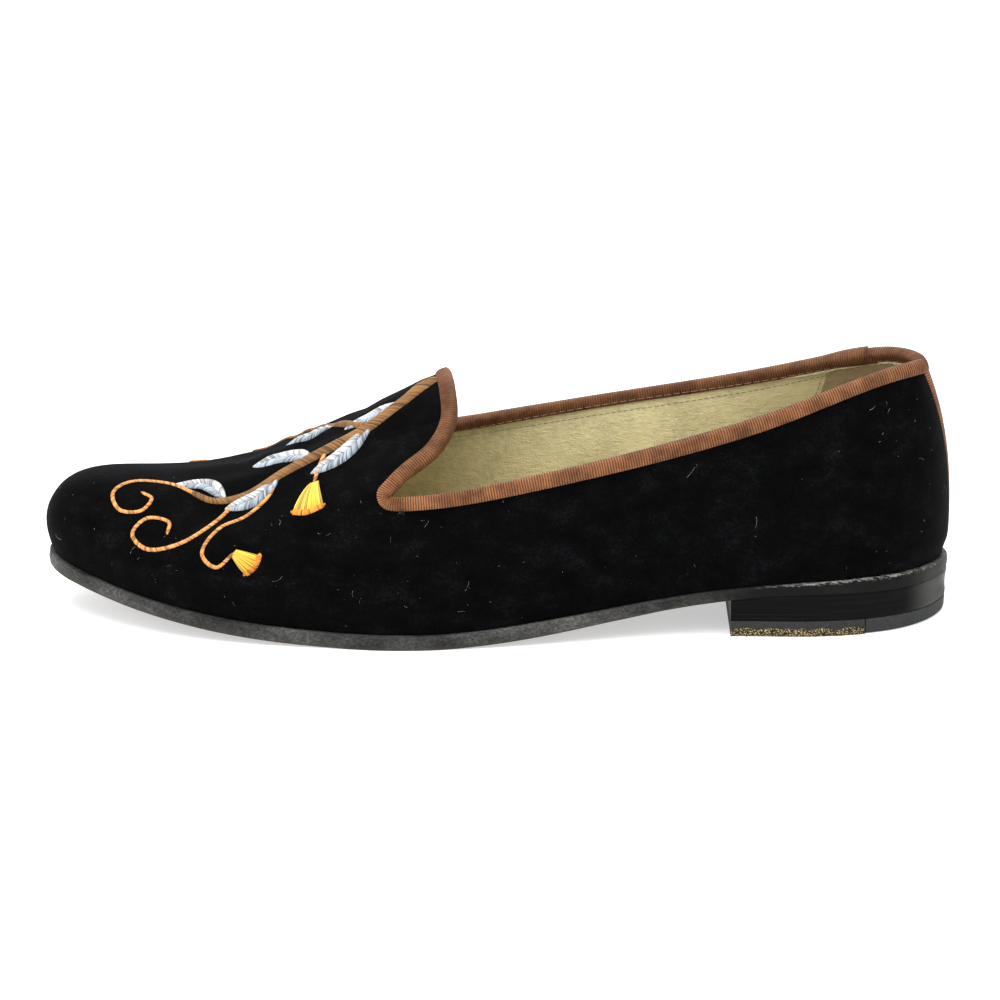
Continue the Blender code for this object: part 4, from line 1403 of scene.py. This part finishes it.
class SLIPPER_OT_lining(Operator):
    """Leather lining, the heel grip and the sock"""

    bl_idname = "slipper.lining"
    bl_label = "Lining and Sock"

    def execute(self, context):
        return run(context, make_lining, make_heel_grip, make_lining_edge, make_insole_sock)


class SLIPPER_OT_ribbon(Operator):
    """Ribbed ribbon round the topline and up the back seam, with all stitches and its snag"""

    bl_idname = "slipper.ribbon"
    bl_label = "Ribbon Binding"

    def execute(self, context):
        return run(context, make_topline_ribbon, make_heel_ribbon, make_stitches, make_snag)


class SLIPPER_OT_sole(Operator):
    """Leather outsole with its rubbed edge"""

    bl_idname = "slipper.sole"
    bl_label = "Outsole"
    # Leather outsole with its worn edge, and a painted highlight at the heel's rear corner

    def execute(self, context):
        return run(context, make_outsole)


class SLIPPER_OT_heel(Operator):
    """Polished heel, its two lifts and the worn strip"""

    bl_idname = "slipper.heel"
    bl_label = "Heel and Lifts"

    def execute(self, context):
        return run(context, make_heel)


class SLIPPER_OT_embroidery(Operator):
    """Satin-stitched leaf scroll over the vamp"""

    bl_idname = "slipper.embroidery"
    bl_label = "Embroidery"

    def execute(self, context):
        return run(context, make_embroidery)


class SLIPPER_OT_lint(Operator):
    """Pale hairs caught in the velvet"""

    bl_idname = "slipper.lint"
    bl_label = "Lint"

    def execute(self, context):
        return run(context, make_lint)


class SLIPPER_OT_stage(Operator):
    """Pale floor, soft lights and camera"""

    bl_idname = "slipper.stage"
    bl_label = "Stage"

    def execute(self, context):
        return run(context, make_stage)


OPERATORS = (SLIPPER_OT_upper, SLIPPER_OT_lining, SLIPPER_OT_ribbon, SLIPPER_OT_sole, SLIPPER_OT_heel,
             SLIPPER_OT_embroidery, SLIPPER_OT_lint, SLIPPER_OT_stage)


class SLIPPER_PT_pieces(Panel):
    """Lists the slipper's pieces"""

    bl_idname = "SLIPPER_PT_pieces"
    bl_label = "Velvet Slipper"
    bl_space_type = "VIEW_3D"
    bl_region_type = "UI"
    bl_category = "Slipper"

    def draw(self, context):
        for operator in OPERATORS:
            self.layout.operator(operator.bl_idname)
        for group in settings(context):
            box = self.layout.box()
            for key in group.__annotations__:
                box.prop(group, key)


CLASSES = (SlipperSizes, SlipperColours, *OPERATORS, SLIPPER_PT_pieces)


def register():
    for each in CLASSES:
        bpy.utils.register_class(each)
    bpy.types.Scene.slipper_sizes = PointerProperty(type=SlipperSizes)
    bpy.types.Scene.slipper_colours = PointerProperty(type=SlipperColours)


def unregister():
    del bpy.types.Scene.slipper_colours
    del bpy.types.Scene.slipper_sizes
    for each in reversed(CLASSES):
        bpy.utils.unregister_class(each)


def main():
    register()
    bpy.ops.slipper.upper()
    bpy.ops.slipper.lining()
    bpy.ops.slipper.ribbon()
    bpy.ops.slipper.sole()
    bpy.ops.slipper.heel()
    bpy.ops.slipper.embroidery()
    bpy.ops.slipper.lint()
    bpy.ops.slipper.stage()


if __name__ == "__main__":
    main()
